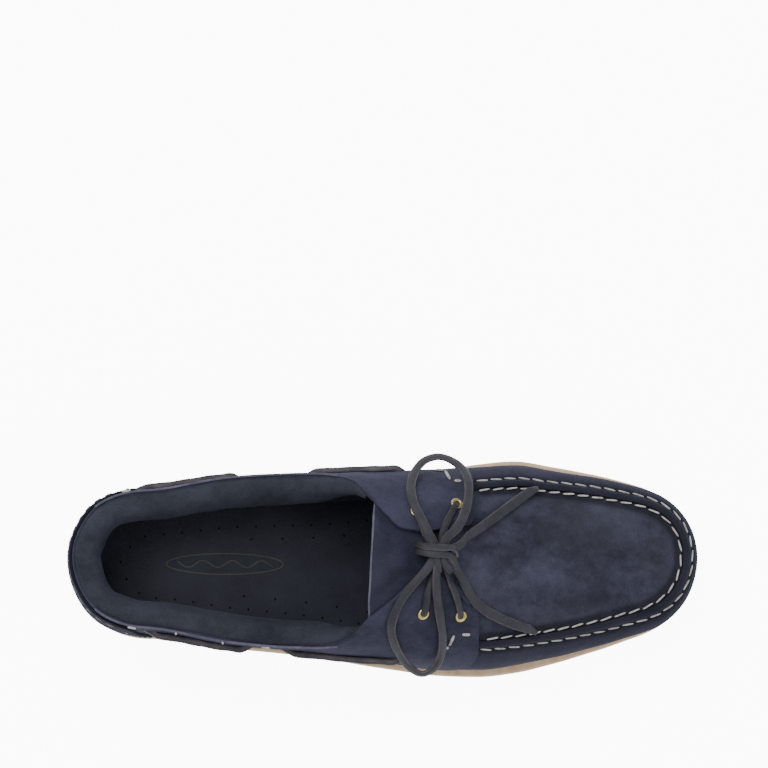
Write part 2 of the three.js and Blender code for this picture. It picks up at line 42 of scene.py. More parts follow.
# the last: the same shape that the frame's upper and sole are built on
# "at" runs from 0 at the back of the heel to 1 at the tip of the toe.
last = {
    "length": 0.290,
    "gap": 0.0003,
    "flanks": [  # at, outer flank, inner flank
        (0.13, 0.0334, 0.0330),
        (0.25, 0.0376, 0.0364),
        (0.38, 0.0414, 0.0380),
        (0.50, 0.0468, 0.0415),
        (0.60, 0.0502, 0.0464),
        (0.65, 0.0505, 0.0490),
        (0.71, 0.0486, 0.0505),
        (0.77, 0.0446, 0.0479),
        (0.84, 0.0396, 0.0448),
        (0.90, 0.0367, 0.0430),
        (1.00, 0.0360, 0.0426),
    ],
    "heelEnd": {"from": 0.13, "tip": 0.0017, "along": 2.2, "across": 2.0},
    "toeEnd": {"from": 0.64, "tip": 0.0043, "along": 5.0, "across": 2.0},
    "heights": [  # at, underside, top of the sole
        (0.0, 0.0012, 0.0245),
        (0.03, 0.0, 0.0243),
        (0.13, 0.0, 0.0234),
        (0.26, 0.0, 0.0214),
        (0.268, 0.0065, 0.0212),
        (0.34, 0.0050, 0.0188),
        (0.48, 0.0, 0.0136),
        (0.60, 0.0, 0.0108),
        (0.72, 0.0, 0.0104),
        (0.82, 0.0018, 0.0122),
        (0.92, 0.0056, 0.0156),
        (1.0, 0.0105, 0.0198),
    ],
    "sections": [  # at, margin, swell, arch, ridge height, ridge sideways, squareness
        (0.0, 0.0020, 0.0006, 0.0, 0.100, 0.0017, 2.5),
        (0.05, 0.0021, 0.0032, 0.0010, 0.100, 0.0013, 2.5),
        (0.15, 0.0024, 0.0040, 0.0020, 0.100, 0.0005, 2.5),
        (0.3, 0.0024, 0.0055, 0.0050, 0.098, -0.0010, 2.5),
        (0.4, 0.0028, 0.0050, 0.0068, 0.093, -0.0020, 2.5),
        (0.5, 0.0036, 0.0040, 0.0058, 0.085, -0.0010, 2.5),
        (0.6, 0.0044, 0.0030, 0.0015, 0.0725, 0.0010, 2.5),
        (0.7, 0.0046, 0.0024, 0.0, 0.060, 0.0022, 2.6),
        (0.8, 0.0038, 0.0020, 0.0, 0.0515, 0.0028, 2.6),
        (0.9, 0.0026, 0.0020, 0.0, 0.046, 0.0034, 2.5),
        (1.0, 0.0010, 0.0022, 0.0, 0.042, 0.0043, 2.4),
    ],
    "heelLean": {"from": 0.4, "by": 0.12, "power": 2.2},
    "toeLean": {"from": 0.5, "by": 0.1, "power": 2.2},
    "topLine": [  # at, degrees round the rib
        (0.0, 34.0),
        (0.06, 32.5),
        (0.15, 28.5),
        (0.3, 24.5),
        (0.38, 27.0),
        (0.43, 34.0),
        (0.48, 50.0),
        (0.52, 70.0),
        (0.56, 78.0),
        (0.58, 83.0),
        (0.60, 90.0),
    ],
    "seam": [  # at, distance inside the upper's foot, what the inner side adds
        (0.45, 0.0065, 0.0),
        (0.66, 0.0094, 0.0012),
        (0.72, 0.0090, 0.0014),
        (0.85, 0.0071, 0.0012),
        (1.0, 0.0064, 0.0),
    ],
    "ribs": 720,
    "turns": 121,
    "step": 0.0005,
    "below": 0.004,
}


def curveThrough(rows, column, at):
    # cubic pieces through one column of a table, level where it ends or turns back
    xs = np.array([row[0] for row in rows])
    ys = np.array([row[column] for row in rows])
    steps = np.diff(ys) / np.diff(xs)
    slopes = np.zeros(len(ys))
    for k in range(1, len(ys) - 1):
        if steps[k - 1] * steps[k] > 0:
            slopes[k] = 2 * steps[k - 1] * steps[k] / (steps[k - 1] + steps[k])
    at = np.clip(at, xs[0], xs[-1])
    i = np.clip(np.searchsorted(xs, at, side="right") - 1, 0, len(xs) - 2)
    width = xs[i + 1] - xs[i]
    u = (at - xs[i]) / width
    ease = u * u * (3 - 2 * u)
    bend = (1 - u) * slopes[i] - u * slopes[i + 1]
    return ys[i] + (ys[i + 1] - ys[i]) * ease + width * u * (1 - u) * bend


def smoothStep(low, high, value):
    u = np.clip((value - low) / (high - low), 0, 1)
    return u * u * (3 - 2 * u)


def quarterRound(u, end):
    return (1 - np.clip(u, 0, 1) ** end["along"]) ** (1 / end["across"])


def soleEdge(at, medial):
    heelEnd = last["heelEnd"]
    toeEnd = last["toeEnd"]
    outer = -curveThrough(last["flanks"], 1, at)
    flank = np.where(medial, curveThrough(last["flanks"], 2, at), outer)
    heel = quarterRound((heelEnd["from"] - at) / heelEnd["from"], heelEnd)
    toe = quarterRound((at - toeEnd["from"]) / (1 - toeEnd["from"]), toeEnd)
    tip = np.where(at < 0.5, heelEnd["tip"], toeEnd["tip"])
    return np.stack([(at - 0.5) * last["length"], tip + (flank - tip) * heel * toe], -1)


def soleHeight(column, x):
    return curveThrough(last["heights"], column, np.clip(x / last["length"] + 0.5, 0, 1))


def edgeRing(count, inset):
    # the sole's outline as a closed ring: inner side heel to toe, then outer side back
    place = np.arange(count) * 2 / count
    at = (1 - np.cos(np.pi * place)) / 2
    edge = soleEdge(at, place <= 1)
    travel = np.roll(edge, -1, 0) - np.roll(edge, 1, 0)
    inward = np.stack([travel[:, 1], -travel[:, 0]], -1)
    inward /= np.linalg.norm(inward, axis=1, keepdims=True)
    return edge + inward * np.asarray(inset).reshape(-1, 1)


def measureLast():
    count = last["ribs"]
    place = np.arange(count) * 2 / count
    at = (1 - np.cos(np.pi * place)) / 2
    rows = last["sections"]
    margin, swell, arch, high, middle, square = [curveThrough(rows, c, at) for c in range(1, 7)]
    foot = edgeRing(count, margin)
    base = np.column_stack([foot, soleHeight(2, foot[:, 0]) + last["gap"]])
    heelLean = last["heelLean"]
    toeLean = last["toeLean"]
    heel = np.clip((heelLean["from"] - at) / heelLean["from"], 0, None)
    toe = np.clip((at - toeLean["from"]) / (1 - toeLean["from"]), 0, None)
    there = at + heelLean["by"] * heel ** heelLean["power"] - toeLean["by"] * toe ** toeLean["power"]
    ridge = np.column_stack([(there - 0.5) * last["length"], middle, high])
    angle = np.linspace(0, math.pi / 2, last["turns"])[None, :]
    power = (2 / square)[:, None]
    across = 1 - np.clip(np.cos(angle), 0, None) ** power
    up = np.sin(angle) ** power
    inward = ridge[:, :2] - base[:, :2]
    width = np.linalg.norm(inward, axis=1)[:, None]
    fullness = (swell + np.where(place <= 1, arch, 0))[:, None]
    out = fullness * np.sin(2 * angle) * (1 - up * up)
    share = (across * width - out) / width
    points = np.empty((count, last["turns"], 3))
    points[..., 0] = base[:, None, 0] + inward[:, None, 0] * share
    points[..., 1] = base[:, None, 1] + inward[:, None, 1] * share
    points[..., 2] = base[:, None, 2] + (ridge[:, None, 2] - base[:, None, 2]) * up
    gaps = np.linalg.norm(np.diff(points, axis=1), axis=2)
    run = np.concatenate([np.zeros((count, 1)), np.cumsum(gaps, axis=1)], axis=1)
    full = run[:, -1]
    top = np.empty(count)
    seam = np.empty(count)
    turn = np.linspace(0, 90, last["turns"])
    topTurn = curveThrough(last["topLine"], 1, at)
    innerMore = np.where(place <= 1, curveThrough(last["seam"], 2, at), 0)
    seamInset = curveThrough(last["seam"], 1, at) + innerMore
    samples = int(math.ceil((full.max() + last["below"]) / last["step"])) + 8
    along = np.arange(samples) * last["step"] - last["below"]
    grid = np.empty((count, samples, 3))
    for r in range(count):
        top[r] = np.interp(topTurn[r], turn, run[r])
        reach = np.linalg.norm(ridge[r, :2] - points[r, :, :2], axis=1)
        inside = reach[0] - reach
        low = last["turns"] // 6
        seam[r] = np.interp(seamInset[r], np.maximum.accumulate(inside[low:]), run[r, low:])
        first = points[r, 1] - points[r, 0]
        final = points[r, -1] - points[r, -3]
        for c in range(3):
            grid[r, :, c] = np.interp(along, run[r], points[r, :, c])
        grid[r] += np.outer(np.clip(along, None, 0), first / np.linalg.norm(first))
        grid[r] += np.outer(np.clip(along - full[r], 0, None), final / np.linalg.norm(final))
    upward = np.gradient(grid, axis=1)
    onward = np.roll(grid, -1, 0) - np.roll(grid, 1, 0)
    normal = np.cross(upward, onward)
    normal /= np.linalg.norm(normal, axis=2, keepdims=True)
    last.update(grid=grid, normal=normal, top=top, seam=seam, full=full, samples=samples, runs=run)


measureLast()


def ringOf(side, at):
    place = np.arccos(1 - 2 * np.asarray(at, dtype=float)) / math.pi
    return place if side == "medial" else 2 - place


def alongAtTurn(ring, turn):
    # the length along a rib where it has come round this many degrees
    rib = int(round((ring % 2) * last["ribs"] / 2)) % last["ribs"]
    degrees = np.linspace(0, 90, last["turns"])
    return float(np.interp(turn, degrees, last["runs"][rib]))


def atOf(ring):
    return (1 - np.cos(np.pi * np.asarray(ring))) / 2


def perRing(values, ring):
    # a value known on each rib, between the ribs
    r = (np.asarray(ring, dtype=float) % 2) * last["ribs"] / 2
    low = np.floor(r).astype(int)
    share = r - low
    return values[low % last["ribs"]] * (1 - share) + values[(low + 1) % last["ribs"]] * share


def onLast(ring, along, lift=0.0, normals=False):
    ring, along, lift = np.broadcast_arrays(np.asarray(ring, dtype=float), along, lift)
    r = (ring % 2) * last["ribs"] / 2
    r0 = np.floor(r).astype(int)
    fr = (r - r0)[..., None]
    r1 = (r0 + 1) % last["ribs"]
    r0 = r0 % last["ribs"]
    k = np.clip((along + last["below"]) / last["step"], 0, last["samples"] - 1.001)
    k0 = np.floor(k).astype(int)
    fs = (k - k0)[..., None]

    def blend(table):
        near = table[r0, k0] * (1 - fs) + table[r0, k0 + 1] * fs
        far = table[r1, k0] * (1 - fs) + table[r1, k0 + 1] * fs
        return near * (1 - fr) + far * fr

    out = blend(last["normal"])
    out /= np.linalg.norm(out, axis=-1, keepdims=True)
    point = blend(last["grid"]) + out * lift[..., None]
    return (point, out) if normals else point


def overPlan(x, y, lowest=0.012):
    # the ring and the length along it that lie over this place of the plan
    along = np.arange(last["samples"]) * last["step"] - last["below"]
    flat = np.hypot(last["grid"][..., 0] - x, last["grid"][..., 1] - y)
    flat[along[None, :] < lowest + 0 * last["full"][:, None]] = 9
    flat[along[None, :] > last["full"][:, None]] = 9
    r, k = np.unravel_index(np.argmin(flat), flat.shape)
    ring = r * 2 / last["ribs"]
    run = along[k]
    reach = np.linspace(-1, 1, 21)
    rings, runs = np.meshgrid(ring + reach * 2 / last["ribs"], run + reach * last["step"])
    near = onLast(rings, runs)
    best = np.argmin(np.hypot(near[..., 0] - x, near[..., 1] - y))
    return rings.ravel()[best], runs.ravel()[best]


# helpers for pieces
def pick(piece):
    bpy.ops.object.select_all(action="DESELECT")
    piece.select_set(True)
    bpy.context.view_layer.objects.active = piece


def selectPoints(piece, wanted):
    # leaves the piece in edit mode with just these vertices selected
    pick(piece)
    bpy.ops.object.mode_set(mode="EDIT")
    bpy.ops.mesh.select_mode(type="VERT")
    bpy.ops.mesh.select_all(action="DESELECT")
    bpy.ops.object.mode_set(mode="OBJECT")
    for vertex in piece.data.vertices:
        vertex.select = wanted(vertex.co)
    bpy.ops.object.mode_set(mode="EDIT")


def editWhole(piece, operator, **settings):
    pick(piece)
    bpy.ops.object.mode_set(mode="EDIT")
    bpy.ops.mesh.select_all(action="SELECT")
    operator(**settings)
    bpy.ops.object.mode_set(mode="OBJECT")


def mergeDoubles(piece, distance=0.00002):
    editWhole(piece, bpy.ops.mesh.remove_doubles, threshold=distance)


def pointOutward(piece):
    editWhole(piece, bpy.ops.mesh.normals_make_consistent, inside=False)


def layGrid(name, points):
    # a grid is added and its vertices are laid on the shape: rows across, columns along a row
    rows, columns = points.shape[:2]
    bpy.ops.mesh.primitive_grid_add(x_subdivisions=columns - 1, y_subdivisions=rows - 1, size=1)
    piece = bpy.context.object
    piece.name = name
    piece.data.name = name
    piece.data.vertices.foreach_set("co", np.ascontiguousarray(points, dtype=np.float32).ravel())
    piece.data.update()
    piece.location = (0, 0, 0)
    mergeDoubles(piece)
    return piece


def applyModifiers(piece):
    pick(piece)
    for modifier in list(piece.modifiers):
        bpy.ops.object.modifier_apply(modifier=modifier.name)


def giveThickness(piece, thick, edge=0.0004, offset=-1):
    wall = piece.modifiers.new("wall", "SOLIDIFY")
    wall.thickness = thick
    wall.offset = offset
    wall.use_even_offset = False
    wall.material_offset_rim = 1
    if edge:
        round_ = piece.modifiers.new("round", "BEVEL")
        round_.width = edge
        round_.segments = 2
        round_.limit_method = "ANGLE"
        round_.angle_limit = math.radians(50)
        round_.use_clamp_overlap = True
    applyModifiers(piece)


def smooth(piece, angle=45):
    pick(piece)
    bpy.ops.object.shade_smooth_by_angle(angle=math.radians(angle))


def wear(piece, *materials):
    piece.data.materials.clear()
    for material in materials:
        piece.data.materials.append(material)


def finishPiece(piece, slotName, *materials):
    wear(piece, *materials)
    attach(piece, "root")
    return piece


def joinAs(name, parts):
    bpy.ops.object.select_all(action="DESELECT")
    for part in parts:
        part.select_set(True)
    bpy.context.view_layer.objects.active = parts[0]
    bpy.ops.object.join()
    parts[0].name = name
    parts[0].data.name = name
    return parts[0]


def copyAlong(name, model, matrices):
    # copies of one modelled shape, each with its own mesh, joined
    copies = []
    for matrix in matrices:
        part = model.copy()
        part.data = model.data.copy()
        part.data.transform(matrix)
        bpy.context.collection.objects.link(part)
        copies.append(part)
    bpy.data.objects.remove(model)
    return joinAs(name, copies)


def facing(point, tangent, normal):
    tangent = Vector(tangent).normalized()
    normal = Vector(normal).normalized()
    side = normal.cross(tangent).normalized()
    normal = tangent.cross(side)
    turn = Matrix((tangent, side, normal)).transposed().to_4x4()
    return Matrix.Translation(Vector(point)) @ turn


def smoothLine(route, spacing):
    # a rounded line through given points, then evenly spaced
    points = np.array(route, dtype=float)
    ends = np.vstack([2 * points[0] - points[1], points, 2 * points[-1] - points[-2]])
    knots = np.concatenate([[0], np.cumsum(np.linalg.norm(np.diff(ends, axis=0), axis=1) ** 0.5)])
    fine = []
    for i in range(1, len(ends) - 2):
        t0, t1, t2, t3 = knots[i - 1 : i + 3]
        p0, p1, p2, p3 = ends[i - 1 : i + 3]
        for t in np.linspace(t1, t2, 13)[: 13 if i == len(ends) - 3 else 12]:
            a1 = (t1 - t) / (t1 - t0) * p0 + (t - t0) / (t1 - t0) * p1
            a2 = (t2 - t) / (t2 - t1) * p1 + (t - t1) / (t2 - t1) * p2
            a3 = (t3 - t) / (t3 - t2) * p2 + (t - t2) / (t3 - t2) * p3
            b1 = (t2 - t) / (t2 - t0) * a1 + (t - t0) / (t2 - t0) * a2
            b2 = (t3 - t) / (t3 - t1) * a2 + (t - t1) / (t3 - t1) * a3
            fine.append((t2 - t) / (t2 - t1) * b1 + (t - t1) / (t2 - t1) * b2)
    return evenLine(np.array(fine), spacing)


def evenLine(line, spacing):
    run = np.concatenate([[0], np.cumsum(np.linalg.norm(np.diff(line, axis=0), axis=1))])
    count = max(2, int(round(run[-1] / spacing)) + 1)
    even = np.linspace(0, run[-1], count)
    return np.stack([np.interp(even, run, line[:, c]) for c in range(line.shape[1])], -1)


# materials
def newGroup(name, inputs, outputs):
    group = bpy.data.node_groups.new(name, "ShaderNodeTree")
    for label, kind, value in inputs:
        socket = group.interface.new_socket(name=label, in_out="INPUT", socket_type=kind)
        socket.default_value = value
    for label, kind in outputs:
        group.interface.new_socket(name=label, in_out="OUTPUT", socket_type=kind)
    return group, group.nodes.new("NodeGroupInput"), group.nodes.new("NodeGroupOutput")


def addNode(tree, kind, **settings):
    node = tree.nodes.new(kind)
    for name, value in settings.items():
        setattr(node, name, value)
    return node


def mathNode(tree, operation, a, b=None, clamp=False):
    node = addNode(tree, "ShaderNodeMath", operation=operation, use_clamp=clamp)
    for socket, value in zip(node.inputs, (a, b)):
        if value is None:
            continue
        if isinstance(value, (int, float)):
            socket.default_value = value
        else:
            tree.links.new(value, socket)
    return node.outputs[0]


def mixColour(tree, factor, first, second, blend="MIX"):
    node = addNode(tree, "ShaderNodeMix", data_type="RGBA", blend_type=blend)
    for socket, value in zip((node.inputs[0], node.inputs[6], node.inputs[7]), (factor, first, second)):
        if isinstance(value, bpy.types.NodeSocket):
            tree.links.new(value, socket)
        else:
            socket.default_value = value
    return node.outputs[2]


def noise(tree, vector, scale, detail=3.0, rough=0.5):
    node = addNode(tree, "ShaderNodeTexNoise")
    if isinstance(scale, bpy.types.NodeSocket):
        tree.links.new(scale, node.inputs["Scale"])
    else:
        node.inputs["Scale"].default_value = scale
    node.inputs["Detail"].default_value = detail
    node.inputs["Roughness"].default_value = rough
    tree.links.new(vector, node.inputs["Vector"])
    return node.outputs[0]


def stretch(tree, value, low, high):
    node = addNode(tree, "ShaderNodeMapRange", clamp=True)
    tree.links.new(value, node.inputs[0])
    node.inputs[1].default_value = low
    node.inputs[2].default_value = high
    return node.outputs[0]


def weighed(tree, first, firstShare, second, secondShare):
    # a sum of two values, each with its own weight
    more = mathNode(tree, "MULTIPLY", first, firstShare)
    return mathNode(tree, "ADD", more, mathNode(tree, "MULTIPLY", second, secondShare))


def buildSuedeNap():
    # brushed nap: soft patches where it lies another way, fine fibres, and a height for the bump
    dark = ("Dark", "NodeSocketColor", (0.02, 0.02, 0.03, 1))
    light = ("Light", "NodeSocketColor", (0.05, 0.05, 0.08, 1))
    tint = ("Tint", "NodeSocketColor", (0.05, 0.05, 0.06, 1))
    patch = ("Patch", "NodeSocketFloat", 45.0)
    group, given, result = newGroup(
        "suedeNap",
        [dark, light, tint, patch],
        [("Color", "NodeSocketColor"), ("Height", "NodeSocketFloat"), ("Fibre", "NodeSocketFloat")],
    )
    place = addNode(group, "ShaderNodeTexCoord").outputs["Object"]
    brushed = addNode(group, "ShaderNodeMapping")
    brushed.inputs["Scale"].default_value = (0.7, 1.25, 1.0)
    brushed.inputs["Rotation"].default_value = (0, 0, 0.5)
    group.links.new(place, brushed.inputs["Vector"])
    broad = stretch(group, noise(group, brushed.outputs[0], given.outputs["Patch"], 4, 0.62), 0.36, 0.66)
    small = stretch(group, noise(group, place, 210.0, 4, 0.6), 0.3, 0.72)
    fibre = noise(group, place, 1500.0, 3, 0.7)
    hue = stretch(group, noise(group, place, 24.0, 2, 0.5), 0.42, 0.62)
    mixed = weighed(group, broad, 0.66, small, 0.34)
    colour = mixColour(group, mixed, given.outputs["Dark"], given.outputs["Light"])
    toTint = mathNode(group, "MULTIPLY", hue, 0.42)
    colour = mixColour(group, toTint, colour, given.outputs["Tint"])
    speck = mathNode(group, "ADD", mathNode(group, "MULTIPLY", fibre, 0.9), 0.55)
    grey = addNode(group, "ShaderNodeCombineColor")
    for socket in grey.inputs[:3]:
        group.links.new(speck, socket)
    colour = mixColour(group, 1.0, colour, grey.outputs[0], "MULTIPLY")
    height = weighed(group, small, 0.35, fibre, 0.65)
    group.links.new(colour, result.inputs["Color"])
    group.links.new(height, result.inputs["Height"])
    group.links.new(fibre, result.inputs["Fibre"])
    return group


def buildLeatherGrain():
    # pebbled leather: small cells between fine creases, and a broad unevenness
    cell = ("Cell", "NodeSocketFloat", 900.0)
    group, given, result = newGroup(
        "leatherGrain", [cell], [("Height", "NodeSocketFloat"), ("Shade", "NodeSocketFloat")]
    )
    place = addNode(group, "ShaderNodeTexCoord").outputs["Object"]
    pebble = addNode(group, "ShaderNodeTexVoronoi", feature="DISTANCE_TO_EDGE")
    group.links.new(given.outputs["Cell"], pebble.inputs["Scale"])
    bent = addNode(group, "ShaderNodeVectorMath", operation="ADD")
    group.links.new(place, bent.inputs[0])
    wobble = addNode(group, "ShaderNodeTexNoise")
    wobble.inputs["Scale"].default_value = 300.0
    group.links.new(place, wobble.inputs["Vector"])
    small = addNode(group, "ShaderNodeVectorMath", operation="SCALE")
    small.inputs["Scale"].default_value = 0.0012
    group.links.new(wobble.outputs["Color"], small.inputs[0])
    group.links.new(small.outputs[0], bent.inputs[1])
    group.links.new(bent.outputs[0], pebble.inputs["Vector"])
    dome = stretch(group, pebble.outputs["Distance"], 0.0, 0.28)
    broad = noise(group, place, 60.0, 3, 0.55)
    height = weighed(group, dome, 0.6, broad, 0.6)
    group.links.new(height, result.inputs["Height"])
    group.links.new(stretch(group, broad, 0.3, 0.7), result.inputs["Shade"])
    return group


suedeNap = buildSuedeNap()
leatherGrain = buildLeatherGrain()


def startMaterial(name):
    material = bpy.data.materials.new(name)
    material.use_nodes = True
    tree = material.node_tree
    return material, tree, tree.nodes["Principled BSDF"]


def useGroup(tree, group, **values):
    node = addNode(tree, "ShaderNodeGroup", node_tree=group)
    for name, value in values.items():
        node.inputs[name].default_value = value
    return node


def bumpInto(tree, shader, height, strength, distance):
    bump = addNode(tree, "ShaderNodeBump")
    bump.inputs["Strength"].default_value = strength
    bump.inputs["Distance"].default_value = distance
    tree.links.new(height, bump.inputs["Height"])
    tree.links.new(bump.outputs[0], shader.inputs["Normal"])


def rgb(red, green, blue):
    # a colour given as it looks, in 0 to 255
    def linear(c):
        c = c / 255
        return c / 12.92 if c <= 0.04045 else ((c + 0.055) / 1.055) ** 2.4

    return (linear(red), linear(green), linear(blue), 1)


def suede(name, dark, light, tint, patch=45.0, sheen=0.12, seam=0.0):
    material, tree, shader = startMaterial(name)
    nap = useGroup(tree, suedeNap, Dark=rgb(*dark), Light=rgb(*light), Tint=rgb(*tint), Patch=patch)
    colour = nap.outputs["Color"]
    # painted shade beside the moc seam: the seam strength mixes the colour towards near-black where the seam
    # attribute is high
    if seam:
        shade = addNode(tree, "ShaderNodeAttribute", attribute_name="paintedSeamShade")
        darker = mathNode(tree, "MULTIPLY", shade.outputs["Fac"], seam)
        colour = mixColour(tree, darker, colour, rgb(14, 15, 20))
    tree.links.new(colour, shader.inputs["Base Color"])
    shader.inputs["Roughness"].default_value = 0.95
    shader.inputs["Specular IOR Level"].default_value = 0.12
    shader.inputs["Sheen Weight"].default_value = sheen
    shader.inputs["Sheen Roughness"].default_value = 0.5
    shader.inputs["Sheen Tint"].default_value = rgb(120, 125, 165)
    bumpInto(tree, shader, nap.outputs["Height"], 0.6, 0.0005)
    return material


def leather(name, dark, light, cell=900.0, rough=0.6, strength=0.25, specular=0.3):
    material, tree, shader = startMaterial(name)
    grain = useGroup(tree, leatherGrain, Cell=cell)
    colour = mixColour(tree, grain.outputs["Shade"], rgb(*dark), rgb(*light))
    tree.links.new(colour, shader.inputs["Base Color"])
    shader.inputs["Roughness"].default_value = rough
    shader.inputs["Specular IOR Level"].default_value = specular
    bumpInto(tree, shader, grain.outputs["Height"], strength, 0.0004)
    return material


def rawhide(name, face, edge, rough=0.5):
    # flat lace: waxed faces, paler cut sides that are partly the cut leather's own colour and partly a
    # painted highlight along the edges; its UV map runs once round the lace
    material, tree, shader = startMaterial(name)
    mapNode = addNode(tree, "ShaderNodeUVMap")
    split = addNode(tree, "ShaderNodeSeparateXYZ")
    tree.links.new(mapNode.outputs[0], split.inputs[0])
    turn = mathNode(tree, "MULTIPLY", split.outputs[0], 2 * math.pi)
    side = mathNode(tree, "ABSOLUTE", mathNode(tree, "COSINE", turn))
    side = mathNode(tree, "POWER", side, 7.0)
    grain = useGroup(tree, leatherGrain, Cell=1500.0)
    place = addNode(tree, "ShaderNodeTexCoord").outputs["Object"]
    streak = noise(tree, place, 130.0, 3, 0.5)
    side = mathNode(tree, "MULTIPLY", side, stretch(tree, streak, 0.2, 0.75))
    broad = noise(tree, place, 75.0, 3, 0.55)
    deep, plain, worn = [rgb(*[c * share for c in face]) for share in (0.68, 1.1, 1.3)]
    patchy = mixColour(tree, grain.outputs["Shade"], deep, plain)
    base = mixColour(tree, stretch(tree, broad, 0.35, 0.68), patchy, worn)
    # paler sides: the cut sides' own colour and a painted highlight along the lace's edges
    colour = mixColour(tree, side, base, rgb(*edge))
    tree.links.new(colour, shader.inputs["Base Color"])
    shader.inputs["Roughness"].default_value = rough
    shader.inputs["Specular IOR Level"].default_value = 0.2
    bumpInto(tree, shader, grain.outputs["Height"], 0.3, 0.0004)
    return material


def plainGrain(name, dark, light, scale, rough, strength, metallic=0.0, specular=0.3, distance=0.0003):
    material, tree, shader = startMaterial(name)
    place = addNode(tree, "ShaderNodeTexCoord").outputs["Object"]
    broad = stretch(tree, noise(tree, place, scale * 0.12, 4, 0.6), 0.32, 0.68)
    fine = noise(tree, place, scale, 3, 0.6)
    colour = mixColour(tree, broad, rgb(*dark), rgb(*light))
    tree.links.new(colour, shader.inputs["Base Color"])
    shader.inputs["Roughness"].default_value = rough
    shader.inputs["Metallic"].default_value = metallic
    shader.inputs["Specular IOR Level"].default_value = specular
    bumpInto(tree, shader, fine, strength, distance)
    return material


finish = {
    # the apron and the wall take painted shade beside the moc seam
    "apron": suede("apronSuede", (29, 31, 39), (60, 60, 76), (45, 47, 53), 40.0, seam=0.6),
    "vamp": suede("vampSuede", (25, 26, 36), (42, 41, 56), (36, 37, 45), 60.0, seam=0.6),
    "quarter": suede("quarterSuede", (29, 30, 41), (54, 54, 71), (42, 44, 53), 42.0),
    "tongue": suede("tongueSuede", (31, 32, 44), (47, 47, 63), (40, 42, 50), 60.0),
    "collar": suede("collarSuede", (28, 31, 37), (50, 52, 62), (40, 43, 50), 50.0),
    "liner": leather("innerLeather", (30, 33, 40), (42, 45, 53), 700.0, 0.75, 0.2, 0.1),
    "insole": leather("insoleLeather", (23, 25, 35), (33, 35, 46), 1000.0, 0.6, 0.15, 0.15),
    "patch": suede("patchSuede", (20, 21, 28), (32, 33, 42), (28, 29, 35), 60.0),
    "edge": plainGrain("cutEdge", (62, 61, 76), (88, 86, 102), 900.0, 0.85, 0.4, 0.0, 0.1),
    "lace": rawhide("laceRawhide", (35, 35, 41), (92, 85, 92)),
    "thread": plainGrain("waxedThread", (118, 114, 114), (172, 168, 165), 2600.0, 0.7, 0.5),
    "patchThread": plainGrain("darkThread", (84, 82, 88), (118, 115, 120), 2600.0, 0.75, 0.5),
    "brass": plainGrain("agedBrass", (150, 130, 74), (190, 176, 120), 900.0, 0.35, 0.15, 1.0),
    "rubber": plainGrain("creamRubber", (184, 156, 126), (205, 180, 150), 1400.0, 0.8, 0.35),
    # painted shade for the insides of the insole's perforations
    "dark": plainGrain("holeShade", (8, 9, 12), (12, 13, 17), 900.0, 0.9, 0.2, 0.0, 0.05),
    "emboss": leather("stampedLeather", (42, 40, 43), (54, 51, 53), 1200.0, 0.5, 0.1, 0.2),
}
print("materials made:", len(finish))


# camera, floor and lights
view = {
    "place": (-0.0005, -0.0896, 1.300),
    "aim": (-0.0005, 0.0870, 0.010),
    "lens": 129.4,
    "floor": 3.0,
    "keyPower": 26.0,
    "fillPower": 10.0,
    "sky": 0.9,
    "floorGlow": 0.7,
    "floorWhite": 9.0,
}


def makeCamera():
    bpy.ops.object.camera_add(location=view["place"])
    camera = bpy.context.object
    camera.name = "shoeCamera"
    look = Vector(view["aim"]) - Vector(view["place"])
    right = Vector((1, 0, 0))
    up = right.cross(look).normalized()
    back = -look.normalized()
    turn = Matrix((right, up, back)).transposed().to_4x4()
    camera.matrix_world = Matrix.Translation(Vector(view["place"])) @ turn
    camera.data.lens = view["lens"]
    camera.data.clip_start = 0.02
    bpy.context.scene.camera = camera


def makeLight(name, place, size, power):
    bpy.ops.object.light_add(type="AREA", location=place)
    light = bpy.context.object
    light.name = name
    light.data.size = size
    light.data.energy = power
    light.rotation_euler = (-Vector(place)).to_track_quat("-Z", "Y").to_euler()
    return light


def makeStudio():
    bpy.ops.mesh.primitive_plane_add(size=view["floor"], location=(0, 0, -0.0002))
    floor = bpy.context.object
    floor.name = "studioFloor"
    material, tree, shader = startMaterial("paleFloor")
    shader.inputs["Base Color"].default_value = (0.9, 0.9, 0.9, 1)
    shader.inputs["Roughness"].default_value = 0.9
    shader.inputs["Specular IOR Level"].default_value = 0.1
    shader.inputs["Emission Color"].default_value = (1, 1, 1, 1)
    seen = addNode(tree, "ShaderNodeLightPath").outputs["Is Camera Ray"]
    glow = mathNode(tree, "ADD", mathNode(tree, "MULTIPLY", seen, view["floorWhite"]), view["floorGlow"])
    tree.links.new(glow, shader.inputs["Emission Strength"])
    wear(floor, material)
    makeLight("keyLight", (-0.5, 0.7, 1.5), 1.2, view["keyPower"])
    makeLight("fillLight", (0.9, -0.7, 1.2), 1.4, view["fillPower"])
    world = bpy.data.worlds.new("studioSky")
    world.use_nodes = True
    world.node_tree.nodes["Background"].inputs[0].default_value = (1, 1, 1, 1)
    world.node_tree.nodes["Background"].inputs[1].default_value = view["sky"]
    bpy.context.scene.world = world


makeCamera()
makeStudio()
print("camera, floor and lights set")


